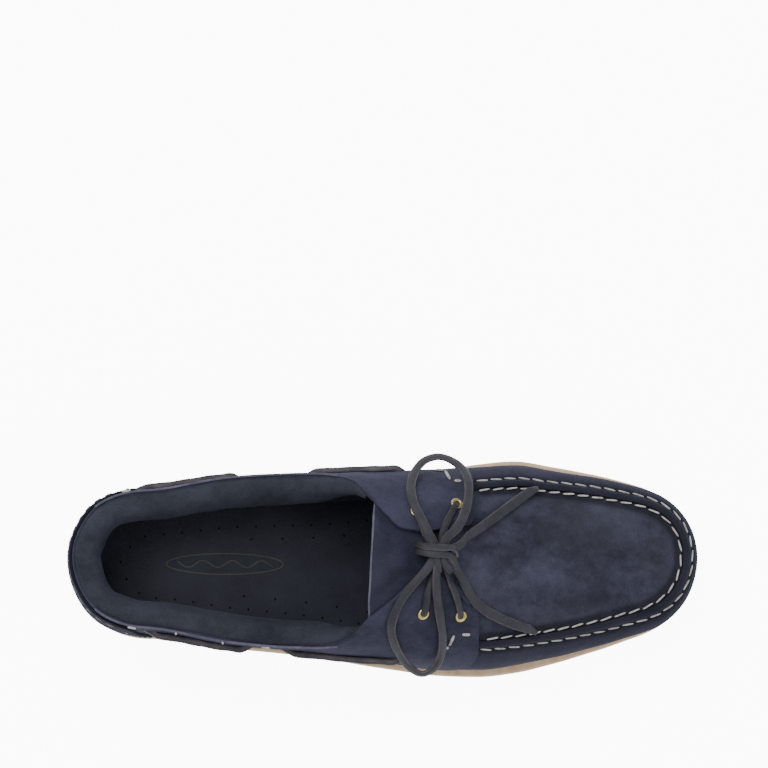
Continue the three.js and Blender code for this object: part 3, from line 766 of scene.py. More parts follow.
# laces: the bow first
lace = {
    "width": 0.0036,
    "thick": 0.0022,
    "sides": 14,
    "square": 0.62,
    "spacing": 0.0011,
    "endWidth": 0.0046,
    "slant": 1.1,
}
bow = {
    "laceLoopMedial": {
        "node": "lace_loop_medial",
        "route": [
            (0.0226, 0.0030, 0.0830), (0.0202, 0.0084, 0.0825),
            (0.0178, 0.0132, 0.0826), (0.0150, 0.0190, 0.0804),
            (0.0122, 0.0263, 0.0750), (0.0116, 0.0336, 0.0680), (0.0139, 0.0408, 0.0610),
            (0.0182, 0.0458, 0.0565), (0.0245, 0.0476, 0.0545), (0.0306, 0.0455, 0.0555),
            (0.0355, 0.0407, 0.0590), (0.0375, 0.0342, 0.0645), (0.0370, 0.0265, 0.0705),
            (0.0350, 0.0192, 0.0756), (0.0316, 0.0128, 0.0796),
            (0.0274, 0.0086, 0.0820), (0.0246, 0.0032, 0.0828),
        ],
        "farEnd": "object",
        "width": 0.0041,
        "roll": 0.15,
    },
    "laceLoopLateral": {
        "node": "lace_loop_lateral",
        "route": [
            (0.0216, -0.0004, 0.0832), (0.0184, -0.0054, 0.0830),
            (0.0146, -0.0098, 0.0836), (0.0089, -0.0163, 0.0830),
            (0.0049, -0.0233, 0.0806), (0.0027, -0.0301, 0.0750), (0.0040, -0.0371, 0.0675),
            (0.0072, -0.0430, 0.0600), (0.0118, -0.0482, 0.0540), (0.0168, -0.0504, 0.0510),
            (0.0218, -0.0481, 0.0520), (0.0249, -0.0424, 0.0570), (0.0257, -0.0359, 0.0635),
            (0.0246, -0.0273, 0.0715), (0.0231, -0.0187, 0.0776), (0.0226, -0.0109, 0.0814),
            (0.0228, -0.0050, 0.0828), (0.0236, 0.0004, 0.0832),
        ],
        "farEnd": "object",
        "width": 0.0038,
        "roll": -0.1,
    },
    "laceEndMedial": {
        "node": "lace_end_medial",
        "route": [
            (0.0284, 0.0030, 0.0822), (0.0334, 0.0058, 0.0796),
            (0.0364, 0.0094, 0.0748), (0.0410, 0.0130, 0.0700),
            (0.0477, 0.0180, 0.0650), (0.0546, 0.0234, 0.0604), (0.0617, 0.0289, 0.0560),
            (0.0689, 0.0343, 0.0516),
        ],
        "farEnd": "bare",
        "roll": 0.35,
    },
    "laceEndLateral": {
        "node": "lace_end_lateral",
        "route": [
            (0.0280, 0.0000, 0.0826), (0.0312, -0.0046, 0.0800),
            (0.0344, -0.0098, 0.0748), (0.0385, -0.0170, 0.0696),
            (0.0442, -0.0221, 0.0652), (0.0515, -0.0259, 0.0604), (0.0594, -0.0288, 0.0556),
            (0.0687, -0.0312, 0.0508),
        ],
        "farEnd": "bare",
        "roll": -0.3,
    },
}


def sweepLace(name, route, roll=0.0, flare=None, width=None, thick=None, upHint=(0, 0, 1)):
    # a flat lace swept along its route without twisting, with rounded cut sides and closed ends
    width = width or lace["width"]
    thick = thick or lace["thick"]
    line = smoothLine(route, lace["spacing"])
    tangent = np.gradient(line, axis=0)
    tangent /= np.linalg.norm(tangent, axis=1, keepdims=True)
    up = np.array(upHint, dtype=float)
    ups = []
    for t in tangent:
        up = up - t * up.dot(t)
        up = up / np.linalg.norm(up)
        ups.append(up)
    ups = np.array(ups)
    side = np.cross(ups, tangent)
    count = len(line)
    share = np.linspace(0, 1, count)
    turn = roll * np.sin(share * math.pi)
    wide = np.full(count, width) * (1 + 0.05 * np.sin(share * 23 + 1.3) + 0.03 * np.sin(share * 57))
    deep = np.full(count, thick) * (1 + 0.06 * np.sin(share * 31 + 0.4))
    if flare:
        grow = smoothStep(0.1, 0.55, share) - 0.45 * smoothStep(0.6, 1.0, share)
        wide = wide * (1 - grow) + flare * grow
        deep = deep * (1 - 0.4 * smoothStep(0.1, 0.7, share))
    angle = np.linspace(0, 2 * math.pi, lace["sides"] + 1)
    power = lace["square"]
    cosine = np.sign(np.cos(angle)) * np.abs(np.cos(angle)) ** power
    sine = np.sign(np.sin(angle)) * np.abs(np.sin(angle)) ** power
    rows = []
    rowShare = [(0, 0.0), (0, 0.75)] + [(k, 1.0) for k in range(count)]
    rowShare += [(count - 1, 0.75), (count - 1, 0.0)]
    for k, size in rowShare:
        c, s = math.cos(turn[k]), math.sin(turn[k])
        flat = side[k] * c + ups[k] * s
        rise = ups[k] * c - side[k] * s
        away = (tangent[k] * lace["thick"] * 0.25 * (1 - size)) * (-1 if k == 0 else 1) * (size > 0)
        away = away + tangent[k] * lace["thick"] * 0.25 * (-1 if k == 0 else 1) * (size == 0)
        ring = line[k] + away + size * (
            np.outer(cosine * wide[k] / 2, flat) + np.outer(sine * deep[k] / 2, rise)
        )
        if flare:
            cut = lace["slant"] * smoothStep(0.8, 1.0, share[k]) * size
            ring = ring - np.outer((cosine + 1) * wide[k] / 2 * cut, tangent[k])
        rows.append(ring)
    piece = layGrid(name, np.array(rows)[::-1])
    smooth(piece, 60)
    return piece, line


for name, facts in bow.items():
    flare = lace["endWidth"] if facts["farEnd"] == "bare" else None
    piece, line = sweepLace(name, facts["route"], facts["roll"], flare, facts.get("width"))
    finishPiece(piece, "rawhide", finish["lace"])
    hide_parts(facts["node"])
print("bow tied")

# the knot: the stem that the loops and ends come out of, and two turns round it
knot = {
    "stem": [
        (0.0190, 0.0086, 0.0812), (0.0205, 0.0050, 0.0832), (0.0222, 0.0010, 0.0840),
        (0.0232, -0.0030, 0.0838), (0.0236, -0.0066, 0.0822),
    ],
    "stemBeside": [
        (0.0262, 0.0090, 0.0812), (0.0254, 0.0050, 0.0830), (0.0252, 0.0010, 0.0836),
        (0.0262, -0.0030, 0.0830), (0.0290, -0.0066, 0.0812),
    ],
    "wrapUpper": [
        (0.0142, 0.0064, 0.0800), (0.0150, 0.0056, 0.0822), (0.0175, 0.0046, 0.0846),
        (0.0215, 0.0040, 0.0859), (0.0255, 0.0038, 0.0856), (0.0292, 0.0040, 0.0838),
        (0.0312, 0.0030, 0.0816), (0.0318, 0.0010, 0.0796),
    ],
    "wrapLower": [
        (0.0138, 0.0030, 0.0796), (0.0148, 0.0026, 0.0820), (0.0175, 0.0018, 0.0844),
        (0.0215, 0.0010, 0.0857), (0.0256, 0.0010, 0.0852), (0.0290, 0.0002, 0.0832),
        (0.0308, -0.0022, 0.0810), (0.0318, -0.0050, 0.0795),
    ],
    "width": 0.0031,
    "thick": 0.0020,
}
turns = []
for name in ("stem", "stemBeside", "wrapUpper", "wrapLower"):
    turn, _ = sweepLace("knot" + name, knot[name], 0.1, None, knot["width"], knot["thick"])
    turns.append(turn)
laceKnot = joinAs("laceKnot", turns)
finishPiece(laceKnot, "rawhide", finish["lace"])
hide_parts("lace_knot")


# eyelets and the strands between them
eyelets = {
    "medialFront": {"node": "eyelet_medial_front", "side": "medial", "at": 0.609, "out": 0.0232},
    "medialRear": {"node": "eyelet_medial_rear", "side": "medial", "at": 0.545, "out": 0.0200},
    "lateralFront": {"node": "eyelet_lateral_front", "side": "lateral", "at": 0.616, "out": 0.0258},
    "lateralRear": {"node": "eyelet_lateral_rear", "side": "lateral", "at": 0.556, "out": 0.0240},
    "ring": 0.0021,
    "wire": 0.00062,
    "bore": 0.0014,
    "barrel": 0.0034,
    "lift": 0.0018,
}


def eyeletPlace(facts):
    ring = float(ringOf(facts["side"], facts["at"]))
    low = 0.03
    high = float(perRing(last["full"], ring))
    ridge = onLast(ring, high)
    while high - low > 0.00001:
        middle = (low + high) / 2
        point = onLast(ring, middle)
        if math.hypot(point[0] - ridge[0], point[1] - ridge[1]) > facts["out"]:
            low = middle
        else:
            high = middle
    return onLast(ring, low, 0.0, normals=True)


def makeEyelet(name, facts):
    point, normal = eyeletPlace(facts)
    bpy.ops.mesh.primitive_torus_add(
        major_radius=eyelets["ring"], minor_radius=eyelets["wire"], major_segments=40, minor_segments=12
    )
    rim = bpy.context.object
    rim.data.transform(Matrix.Diagonal((1, 1, 0.7, 1)))
    bpy.ops.mesh.primitive_cylinder_add(
        vertices=32, radius=eyelets["bore"] + 0.0003, depth=eyelets["barrel"], end_fill_type="NOTHING"
    )
    barrel = bpy.context.object
    barrel.data.transform(Matrix.Translation((0, 0, -0.0016)))
    wall = barrel.modifiers.new("wall", "SOLIDIFY")
    wall.thickness = 0.0004
    applyModifiers(barrel)
    barrel.location = (0, 0, 0)
    piece = joinAs("eyelet" + name[0].upper() + name[1:], [rim, barrel])
    tangent = np.cross(normal, (0, 1, 0))
    piece.data.transform(facing(point + normal * eyelets["lift"], tangent, normal))
    smooth(piece, 50)
    finishPiece(piece, "brass", finish["brass"])
    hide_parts(facts["node"])
    return point, normal


eyeletAt = {}
for name in ("medialFront", "medialRear", "lateralFront", "lateralRear"):
    eyeletAt[name] = makeEyelet(name, eyelets[name])

strands = {
    "laceBarFront": {
        "from": "medialFront",
        "route": [(0.0268, 0.0150, 0.0752), (0.0250, 0.0085, 0.0776), (0.0236, 0.0015, 0.0784),
                  (0.0215, -0.0070, 0.0790), (0.0190, -0.0150, 0.0788)],
        "to": "lateralRear",
    },
    "laceBarRear": {
        "from": "lateralFront",
        "route": [(0.0318, -0.0175, 0.0738), (0.0290, -0.0105, 0.0762), (0.0262, -0.0030, 0.0772),
                  (0.0215, 0.0050, 0.0778), (0.0180, 0.0100, 0.0786)],
        "to": "medialRear",
    },
}
for name, facts in strands.items():
    start, startNormal = eyeletAt[facts["from"]]
    end, endNormal = eyeletAt[facts["to"]]
    route = [start - startNormal * 0.0030, start + startNormal * 0.0014]
    route += facts["route"]
    route += [end + endNormal * 0.0020, end - endNormal * 0.0030]
    piece, _ = sweepLace(name, route, 0.1, None, 0.0031, 0.0020)
    finishPiece(piece, "rawhide", finish["lace"])
    if name == "laceBarFront":
        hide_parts("lace_bars")
print("eyelets and strands made")


# upper: wall, apron, quarters, heel patch, tongue, collar and liner
leatherUpper = {
    "wall": 0.0014,
    "rows": 300,
    "fullness": (0.0008, 0.0016),
}
seamBand = {
    "half": 0.0031,
    "high": 0.0020,
    "groove": 0.0006,
    "grooveAt": 0.0048,
    "grooveWide": 0.0014,
    "from": 0.628,
    "full": 0.655,
    "pitch": 0.0068,
    "pucker": 0.00035,
    "puckerReach": 0.0055,
    # trough and crest: widths of the painted seam shade
    "trough": 0.0019,
    "crest": 0.0034,
}


def seamRun():
    # length along the seam at each rib, for the puckers and stitches to keep step
    rings = np.arange(last["ribs"]) * 2 / last["ribs"]
    line = onLast(rings, last["seam"])
    return np.concatenate([[0], np.cumsum(np.linalg.norm(np.diff(line, axis=0), axis=1))])


runAlongSeam = seamRun()


def bandHeight(ring, fromSeam):
    # height of the gathered band over the last, at this distance past the seam's middle
    gathered = smoothStep(seamBand["from"], seamBand["full"], atOf(ring))
    shape = np.clip(1 - (fromSeam / seamBand["half"]) ** 2, 0, None) ** 0.7
    groove = np.exp(-(((np.abs(fromSeam) - seamBand["grooveAt"]) / seamBand["grooveWide"]) ** 2))
    return (seamBand["high"] * shape - seamBand["groove"] * groove) * gathered


def pucker(ring, fromSeam):
    phase = 2 * np.pi * perRing(runAlongSeam, ring) / seamBand["pitch"]
    gathered = smoothStep(seamBand["from"], seamBand["full"], atOf(ring))
    away = np.abs(fromSeam)
    fade = np.exp(-((away / seamBand["puckerReach"]) ** 2)) * smoothStep(0.0015, 0.0030, away)
    return seamBand["pucker"] * gathered * fade * np.cos(phase)


def soften(points, creases):
    # listed troughs and swells: ends in plan, half width and depth
    lift = np.zeros(points.shape[:-1])
    for x1, y1, x2, y2, wide, deep in creases:
        along = np.array([x2 - x1, y2 - y1])
        size = np.dot(along, along)
        t = ((points[..., 0] - x1) * along[0] + (points[..., 1] - y1) * along[1]) / size
        t = np.clip(t, 0, 1)
        away = np.hypot(points[..., 0] - x1 - t * along[0], points[..., 1] - y1 - t * along[1])
        lift += deep * np.exp(-((away / wide) ** 2)) * (0.35 + 0.65 * np.sin(np.pi * np.clip(t, 0.08, 0.92)))
    return lift


def coverRings(low, high, count):
    # stations round the toe, from this share of the length on the inner side to the other on the outer
    return np.linspace(float(ringOf("medial", low)), float(ringOf("lateral", high)), count)


apronShape = {
    "from": 0.585,
    "columns": 46,
    "inside": 0.0012,
    "tuck": 0.0003,
    "merged": 0.0065,
    "softened": 0.020,
    "softenedBack": 0.004,
    "settled": 0.0120,
}


def makeVampWall():
    rings = coverRings(0.5, 0.5, leatherUpper["rows"])[:, None]
    seam = perRing(last["seam"], rings)
    share = np.linspace(0, 1, 40)[None, :]
    high = np.linspace(-seamBand["half"], 0.0022, 12)[None, :] + seam
    low = -0.001 + (seam - seamBand["half"] - 0.0004 + 0.001) * share
    along = np.concatenate([low + 0 * rings, high + 0 * rings], axis=1)
    fromSeam = along - seam
    lift = bandHeight(rings, fromSeam) + pucker(rings, fromSeam)
    full = smoothStep(0.52, 0.62, atOf(rings)) * (1 - smoothStep(0.93, 1.0, atOf(rings)))
    fullness = np.where(rings < 1, *leatherUpper["fullness"])
    lift = lift + fullness * full * np.sin(np.pi * np.clip(along / (seam - seamBand["half"]), 0, 1))
    points = onLast(rings, along, lift)
    lift = lift + soften(points, vampCreases)
    piece = layGrid("vampWall", onLast(rings, along, lift))
    giveThickness(piece, leatherUpper["wall"])
    smooth(piece, 50)
    return piece


def paintSeamShade(piece):
    # painted shade, stored as a vertex attribute: darkest in the two troughs beside the band, and a little
    # dark on it
    rings = coverRings(seamBand["full"], seamBand["full"], 700)
    line = onLast(rings, perRing(last["seam"], rings), 0.0005)
    coords = np.array([vertex.co[:] for vertex in piece.data.vertices])
    away = np.full(len(coords), 1.0)
    for start in range(0, len(coords), 4000):
        part = coords[start : start + 4000]
        away[start : start + 4000] = np.sqrt(((part[:, None] - line[None]) ** 2).sum(axis=2).min(axis=1))
    trough = np.exp(-(((away - seamBand["grooveAt"] * 0.9) / seamBand["trough"]) ** 2))
    crest = 0.55 * np.exp(-((away / seamBand["crest"]) ** 2))
    shade = piece.data.attributes.new("paintedSeamShade", "FLOAT", "POINT")
    shade.data.foreach_set("value", np.clip(trough + crest, 0, 1).astype(np.float32))


def meetAtRidge(points, toRidge):
    # both sides' lines end on the same ridge, so their ends are shared and the rest follows softly
    shared = (points[:, -1] + points[::-1][:, -1]) / 2
    tip = int(np.argmax(shared[: len(shared) // 2, 0]))
    shared[tip : len(shared) - tip] = shared[tip]
    return points + (shared - points[:, -1])[:, None, :] * toRidge, shared[tip]


def makeApron():
    inside = apronShape["inside"]
    rings = coverRings(apronShape["from"], apronShape["from"], leatherUpper["rows"])[:, None]
    seam = perRing(last["seam"], rings)
    full = perRing(last["full"], rings)
    share = np.linspace(0, 1, apronShape["columns"])[None, :] ** 0.9
    along = seam + inside + (full - seam - inside) * share
    fromSeam = along - seam
    tucked = -apronShape["tuck"] * (1 - smoothStep(inside, 0.0030, fromSeam))
    lift = tucked + pucker(rings, fromSeam) * 0.7 + np.minimum(bandHeight(rings, fromSeam), 0)
    points = onLast(rings, along, lift)
    fade = smoothStep(0.0, 0.006, fromSeam)
    lift = lift + soften(points, apronCreases) * fade
    points = onLast(rings, along, lift)
    toRidge = smoothStep(0.75, 1.0, share)[..., None]
    points, end = meetAtRidge(points, toRidge)
    piece = layGrid("apron", points)
    back = apronShape["softenedBack"]
    selectPoints(piece, lambda co: math.hypot(co.x - end[0], co.y - end[1]) < apronShape["merged"])
    bpy.ops.mesh.merge(type="CENTER")
    bpy.ops.object.mode_set(mode="OBJECT")
    selectPoints(piece, lambda co: math.hypot(co.x - end[0] + back, co.y - end[1]) < apronShape["softened"])
    bpy.ops.mesh.vertices_smooth(factor=0.5, repeat=60)
    bpy.ops.object.mode_set(mode="OBJECT")
    giveThickness(piece, leatherUpper["wall"], 0)
    selectPoints(piece, lambda co: math.hypot(co.x - end[0], co.y - end[1]) < apronShape["settled"])
    bpy.ops.mesh.vertices_smooth(factor=0.5, repeat=40)
    bpy.ops.object.mode_set(mode="OBJECT")
    smooth(piece, 50)
    return piece


vampCreases = [
    (0.060, -0.046, 0.075, -0.038, 0.0040, -0.0005),
    (0.075, 0.049, 0.090, 0.044, 0.0040, -0.0005),
]
apronCreases = [
    (0.052, 0.014, 0.058, -0.010, 0.0090, 0.0007),
    (0.066, 0.018, 0.070, -0.014, 0.0075, -0.0007),
    (0.082, 0.016, 0.086, -0.006, 0.0090, 0.0005),
    (0.100, 0.020, 0.106, 0.008, 0.0080, -0.0004),
    (0.096, -0.010, 0.108, -0.004, 0.0080, 0.0004),
    (0.046, 0.006, 0.050, -0.020, 0.0060, -0.0006),
]

flaps = {
    "medial": {
        "inner": [(-0.0140, 0.0350), (-0.0090, 0.0300), (-0.0049, 0.0257), (0.0010, 0.0185), (0.0071, 0.0128),
                  (0.0156, 0.0114), (0.0270, 0.0120), (0.0385, 0.0133)],
        "foot": 0.585,
    },
    "lateral": {
        "inner": [(-0.0150, -0.0350), (-0.0076, -0.0278), (0.0040, -0.0180), (0.0110, -0.0110),
                  (0.0156, -0.0080), (0.0228, -0.0068), (0.0310, -0.0110), (0.0410, -0.0180)],
        "foot": 0.59,
    },
    "round": 0.0050,
    "columns": 46,
    "rows": 170,
    "over": 0.0015,
    "curl": 0.0006,
}


def quarterTop(side):
    # the quarter's upper edge in ring and length: the collar line, then the flap's inner edge
    # the collar part stops where the flap begins
    start = overPlan(*flaps[side]["inner"][0])
    stop = float(atOf(start[0])) - 0.035
    at = np.concatenate([[0.0], 0.43 * np.linspace(0.02, 1, 40) ** 1.5])
    at = at[at < stop]
    rings = ringOf(side, at)
    line = [(float(r), float(perRing(last["top"], r))) for r in rings]
    places = [overPlan(x, y) for x, y in flaps[side]["inner"]]
    line += [(float(r), float(s)) for r, s in places]
    return np.array(line)


def makeQuarter(side):
    line = quarterTop(side)
    turnWay = 1 if side == "medial" else -1
    if side == "lateral":
        line[:, 0] = 2 - line[:, 0]
    control = np.array([onLast(r if turnWay > 0 else 2 - r, s) for r, s in line])
    run = np.concatenate([[0], np.cumsum(np.linalg.norm(np.diff(control, axis=0), axis=1))])
    u = np.linspace(0, 1, flaps["rows"])
    smoothRun = u * run[-1]
    topRing = smoothThrough(run, line[:, 0], smoothRun)
    topAlong = smoothThrough(run, line[:, 1], smoothRun)
    footEnd = float(ringOf("medial", flaps[side]["foot"]))
    startBend = float(ringOf("medial", 0.30))
    pull = smoothStep(startBend, topRing[-1], topRing)
    footRing = topRing - (topRing[-1] - footEnd) * pull
    v = np.linspace(0, 1, flaps["columns"])[None, :] ** 0.9
    along = -0.001 + (topAlong[:, None] + 0.001) * v
    lean = smoothStep(0.0, 0.62, v)
    rings = footRing[:, None] + (topRing - footRing)[:, None] * lean
    corner = np.clip(along - (topAlong[:, None] - flaps["round"]), 0, flaps["round"])
    back = flaps["round"] - np.sqrt(flaps["round"] ** 2 - corner**2)
    rings = rings - back * ringPerMetre * smoothStep(0.86, 1.0, u)[:, None]
    over = smoothStep(0.47, 0.57, atOf(rings))
    lift = 0.0002 + flaps["over"] * over + flaps["curl"] * over * smoothStep(0.82, 1.0, v)
    actual = rings if turnWay > 0 else 2 - rings
    points = onLast(actual, along, lift)
    lift = lift + soften(points, quarterCreases[side])
    points = onLast(actual, along, lift)
    if turnWay < 0:
        points = points[::-1]
    piece = layGrid(side + "Quarter", points)
    giveThickness(piece, 0.0016)
    smooth(piece, 50)
    return piece


def smoothThrough(knots, values, at):
    # rounded curve through given values, without overshoot
    rows = list(zip(knots, values))
    xs = np.array(knots)
    ys = np.array(values)
    steps = np.diff(ys) / np.diff(xs)
    slopes = np.zeros(len(ys))
    slopes[0] = steps[0]
    slopes[-1] = steps[-1]
    for k in range(1, len(ys) - 1):
        if steps[k - 1] * steps[k] > 0:
            slopes[k] = 2 * steps[k - 1] * steps[k] / (steps[k - 1] + steps[k])
    i = np.clip(np.searchsorted(xs, at, side="right") - 1, 0, len(rows) - 2)
    width = xs[i + 1] - xs[i]
    u = (at - xs[i]) / width
    ease = u * u * (3 - 2 * u)
    inner = u * (1 - u) * ((1 - u) * slopes[i] - u * slopes[i + 1])
    return ys[i] + (ys[i + 1] - ys[i]) * ease + width * inner


# how far round the ring a metre along the flap's front goes
ringPerMetre = 1 / (math.pi / 2 * last["length"] * math.sin(math.pi * float(ringOf("medial", 0.64))))
quarterCreases = {
    "medial": [
        (0.002, 0.034, 0.010, 0.020, 0.0030, -0.0007),
        (0.016, 0.030, 0.024, 0.022, 0.0040, 0.0004),
        (-0.020, 0.043, -0.006, 0.040, 0.0060, 0.0005),
        (-0.060, 0.040, -0.035, 0.042, 0.0060, 0.0004),
    ],
    "lateral": [
        (-0.004, -0.036, 0.008, -0.026, 0.0030, -0.0007),
        (0.012, -0.036, 0.024, -0.028, 0.0045, 0.0004),
        (-0.040, -0.044, -0.015, -0.047, 0.0060, 0.0005),
        (-0.080, -0.039, -0.060, -0.042, 0.0060, 0.0004),
    ],
}

heelPatch = {
    "foot": 0.145,
    "head": 0.104,
    "low": 0.0015,
    "below": 0.0030,
    "lift": 0.0016,
    "thick": 0.0013,
    "round": 0.004,
    "corner": 4.2,
}


def patchReach(v):
    # how far round the patch goes, from its foot to its head
    at = heelPatch["foot"] + (heelPatch["head"] - heelPatch["foot"]) * v
    return ringOf("medial", at)


def makeHeelPatch():
    v = np.linspace(0, 1, 30)[None, :]
    across = np.linspace(-1, 1, 110)[:, None]
    rings = across * patchReach(v)
    top = perRing(last["top"], rings) - heelPatch["below"]
    along = heelPatch["low"] + (top - heelPatch["low"]) * v
    corner = np.clip(along - (top - heelPatch["round"]), 0, heelPatch["round"])
    back = heelPatch["round"] - np.sqrt(heelPatch["round"] ** 2 - corner**2)
    ends = smoothStep(0.8, 1.0, np.abs(across)) * np.sign(across)
    rings = rings - back * ends * heelPatch["corner"]
    piece = layGrid("heelPatch", onLast(rings, along, heelPatch["lift"]))
    giveThickness(piece, heelPatch["thick"], 0.0004)
    smooth(piece, 50)
    return piece


tongue = {
    "lift": -0.0014,
    "thick": 0.0022,
    "rearMedial": 0.488,
    "rearLateral": 0.475,
    "front": 0.655,
    "edge": [(0.475, 53.0), (0.60, 61.0), (0.69, 66.0)],
}
tongueCreases = [
    (-0.006, -0.020, 0.012, -0.006, 0.0040, -0.0024),
    (-0.006, 0.024, 0.010, 0.008, 0.0040, -0.0020),
    (-0.002, -0.010, -0.002, 0.012, 0.0060, 0.0012),
    (0.012, 0.008, 0.014, -0.005, 0.0035, -0.0016),
    (0.006, 0.006, 0.008, -0.003, 0.0030, 0.0009),
    (-0.001, 0.014, 0.006, 0.002, 0.0024, -0.0009),
]


def tongueFoot(full, turn):
    # how far up the ribs the tongue begins
    return full * (turn / 90) ** 0.9 * 0.9


def makeTongue():
    count = 60
    wide = 41
    points = np.empty((count, 2 * wide - 1, 3))
    v = np.linspace(0, 1, count)
    for side in ("medial", "lateral"):
        rear = tongue["rear" + side.capitalize()]
        share = np.linspace(0, 1, wide)[None, :]
        middle = (tongue["rearMedial"] + tongue["rearLateral"]) / 2
        rearAt = rear + (middle - rear) * share
        at = rearAt + (tongue["front"] - rearAt) * v[:, None]
        rings = ringOf(side, at)
        full = perRing(last["full"], rings)
        turn = curveThrough(tongue["edge"], 1, at[:, 0])[:, None]
        low = tongueFoot(full, turn)
        along = low + (full - low) * share
        across = onLast(rings, along, tongue["lift"])
        lift = tongue["lift"] + soften(across, tongueCreases)
        across = onLast(rings, along, lift)
        if side == "medial":
            points[:, :wide] = across
        else:
            points[:, wide - 1 :] = across[:, ::-1]
    piece = layGrid("tongue", points[::-1][:, ::-1])
    if piece.data.polygons[len(piece.data.polygons) // 2].normal.z < 0:
        editWhole(piece, bpy.ops.mesh.flip_normals)
    giveThickness(piece, tongue["thick"], 0.0005)
    smooth(piece, 50)
    return piece


def makeTongueBead():
    # a pale strip along the tongue's rear end: the cut edge's own colour and a painted highlight along that
    # edge
    share = np.linspace(0, 1, 25)
    routes = []
    for side, bits in (("medial", share), ("lateral", share[::-1])):
        rear = tongue["rear" + side.capitalize()]
        middle = (tongue["rearMedial"] + tongue["rearLateral"]) / 2
        at = rear + (middle - rear) * bits
        rings = ringOf(side, at)
        full = perRing(last["full"], rings)
        turn = curveThrough(tongue["edge"], 1, at)
        low = tongueFoot(full, turn)
        along = low + (full - low) * bits
        points = onLast(rings, along, tongue["lift"] - 0.0006)
        lift = tongue["lift"] - 0.0006 + soften(points, tongueCreases)
        routes.append(onLast(rings, along, lift) - np.array([0.0003, 0, 0]))
    route = np.vstack([routes[0][:-1], routes[1]])
    piece, _ = sweepLace("tongueBead", route[::3], 0.0, None, 0.0010, 0.0014, (0, 1, 0))
    return piece


collar = {
    "to": 0.472,
    "profile": [  # length past the top line, lift
        (-0.0050, -0.0018),
        (-0.0010, -0.0014),
        (0.0012, -0.0024),
        (0.0022, -0.0045),
        (0.0016, -0.0076),
        (-0.0010, -0.0102),
        (-0.0045, -0.0117),
        (-0.0085, -0.0118),
        (-0.0130, -0.0104),
        (-0.0180, -0.0082),
        (-0.0230, -0.0066),
    ],
    "thin": (0.395, 0.47),
    "thick": 0.0011,
    "insole": 0.0032,
}


def makeCollar():
    reach = float(ringOf("medial", collar["to"]))
    rings = np.linspace(-reach, reach, 420)[:, None]
    top = perRing(last["top"], rings)
    profile = np.array(collar["profile"])
    fine = smoothLine(np.column_stack([profile, 0 * profile[:, 0]]), 0.0011)
    bulge = 1 - 0.62 * smoothStep(*collar["thin"], atOf(rings))
    past = fine[:, 0][None, :]
    lift = fine[:, 1][None, :] * bulge - 0.0010 * (1 - bulge)
    along = top + past
    low = np.linspace(0, 1, 14)[1:][None, :]
    lowest = along[:, -1:]
    down = lowest + (collar["insole"] - lowest) * low
    downLift = lift[:, -1:] + (-0.0052 - lift[:, -1:]) * low
    along = np.concatenate([along + 0 * rings, down], axis=1)
    lift = np.concatenate([lift + 0 * rings, downLift], axis=1)
    points = onLast(rings, along, lift)
    run = np.arange(points.shape[0])[:, None] / points.shape[0]
    share = np.arange(points.shape[1])[None, :] / points.shape[1]
    soft = 0.0003 * np.sin(run * 61 + 2 * np.sin(run * 17)) * np.sin(np.pi * np.clip(share * 1.8, 0, 1))
    points, out = onLast(rings, along, lift + soft, normals=True)
    even = points.copy()
    for _ in range(50):
        even[1:-1] = (even[:-2] + 2 * even[1:-1] + even[2:]) / 4
    inside = smoothStep(0.0025, 0.0065, np.abs(lift))[..., None]
    points = points + (even - points) * inside
    creased = soften(points, collarCreases) * np.sin(np.pi * np.clip(share * 1.8, 0, 1))
    points = points + out * creased[..., None]
    piece = layGrid("collarLining", points)
    giveThickness(piece, collar["thick"], 0.0003, 1)
    smooth(piece, 60)
    return piece


collarCreases = [  # both ends in plan, half width and depth
    (-0.118, 0.026, -0.100, 0.022, 0.0040, -0.0012),
    (-0.090, 0.034, -0.078, 0.026, 0.0035, -0.0010),
    (-0.064, 0.036, -0.056, 0.030, 0.0040, 0.0008),
    (-0.040, 0.040, -0.032, 0.034, 0.0035, -0.0010),
    (-0.016, 0.040, -0.010, 0.035, 0.0035, -0.0008),
    (-0.131, 0.008, -0.120, 0.004, 0.0040, -0.0010),
    (-0.128, -0.014, -0.116, -0.010, 0.0040, 0.0008),
    (-0.108, -0.030, -0.098, -0.024, 0.0035, -0.0012),
    (-0.082, -0.032, -0.074, -0.028, 0.0035, -0.0010),
    (-0.050, -0.036, -0.040, -0.030, 0.0040, 0.0008),
    (-0.022, -0.038, -0.014, -0.032, 0.0035, -0.0010),
]
topEdge = {"from": 0.045, "to": 0.425, "past": 0.0002, "lift": 0.0006, "wide": 0.0009, "thick": 0.0010}


def makeTopEdges():
    # the pale cut edge of the quarters, along the collar
    beads = []
    for side in ("medial", "lateral"):
        rings = ringOf(side, np.linspace(topEdge["from"], topEdge["to"], 40))
        along = perRing(last["top"], rings) + topEdge["past"]
        points, out = onLast(rings, along, topEdge["lift"], normals=True)
        bead, _ = sweepLace("bead", points, 0.0, None, topEdge["wide"], topEdge["thick"], out[0])
        beads.append(bead)
    return joinAs("quarterTopEdge", beads)


def makeLiner():
    rings = coverRings(0.42, 0.42, 200)[:, None]
    at = atOf(rings)
    open_ = 1 - smoothStep(0.60, 0.64, at)
    top = np.where(open_ > 0.5, perRing(last["top"], rings) * 0.80, perRing(last["full"], rings) - 0.007)
    v = np.linspace(0, 1, 40)[None, :]
    along = 0.001 + (top - 0.001) * v
    lift = -0.0030 - 0.0022 * smoothStep(0.4, 0.9, v) + 0 * rings
    piece = layGrid("innerLining", onLast(rings, along, lift))
    giveThickness(piece, 0.0008, 0)
    smooth(piece, 50)
    return piece


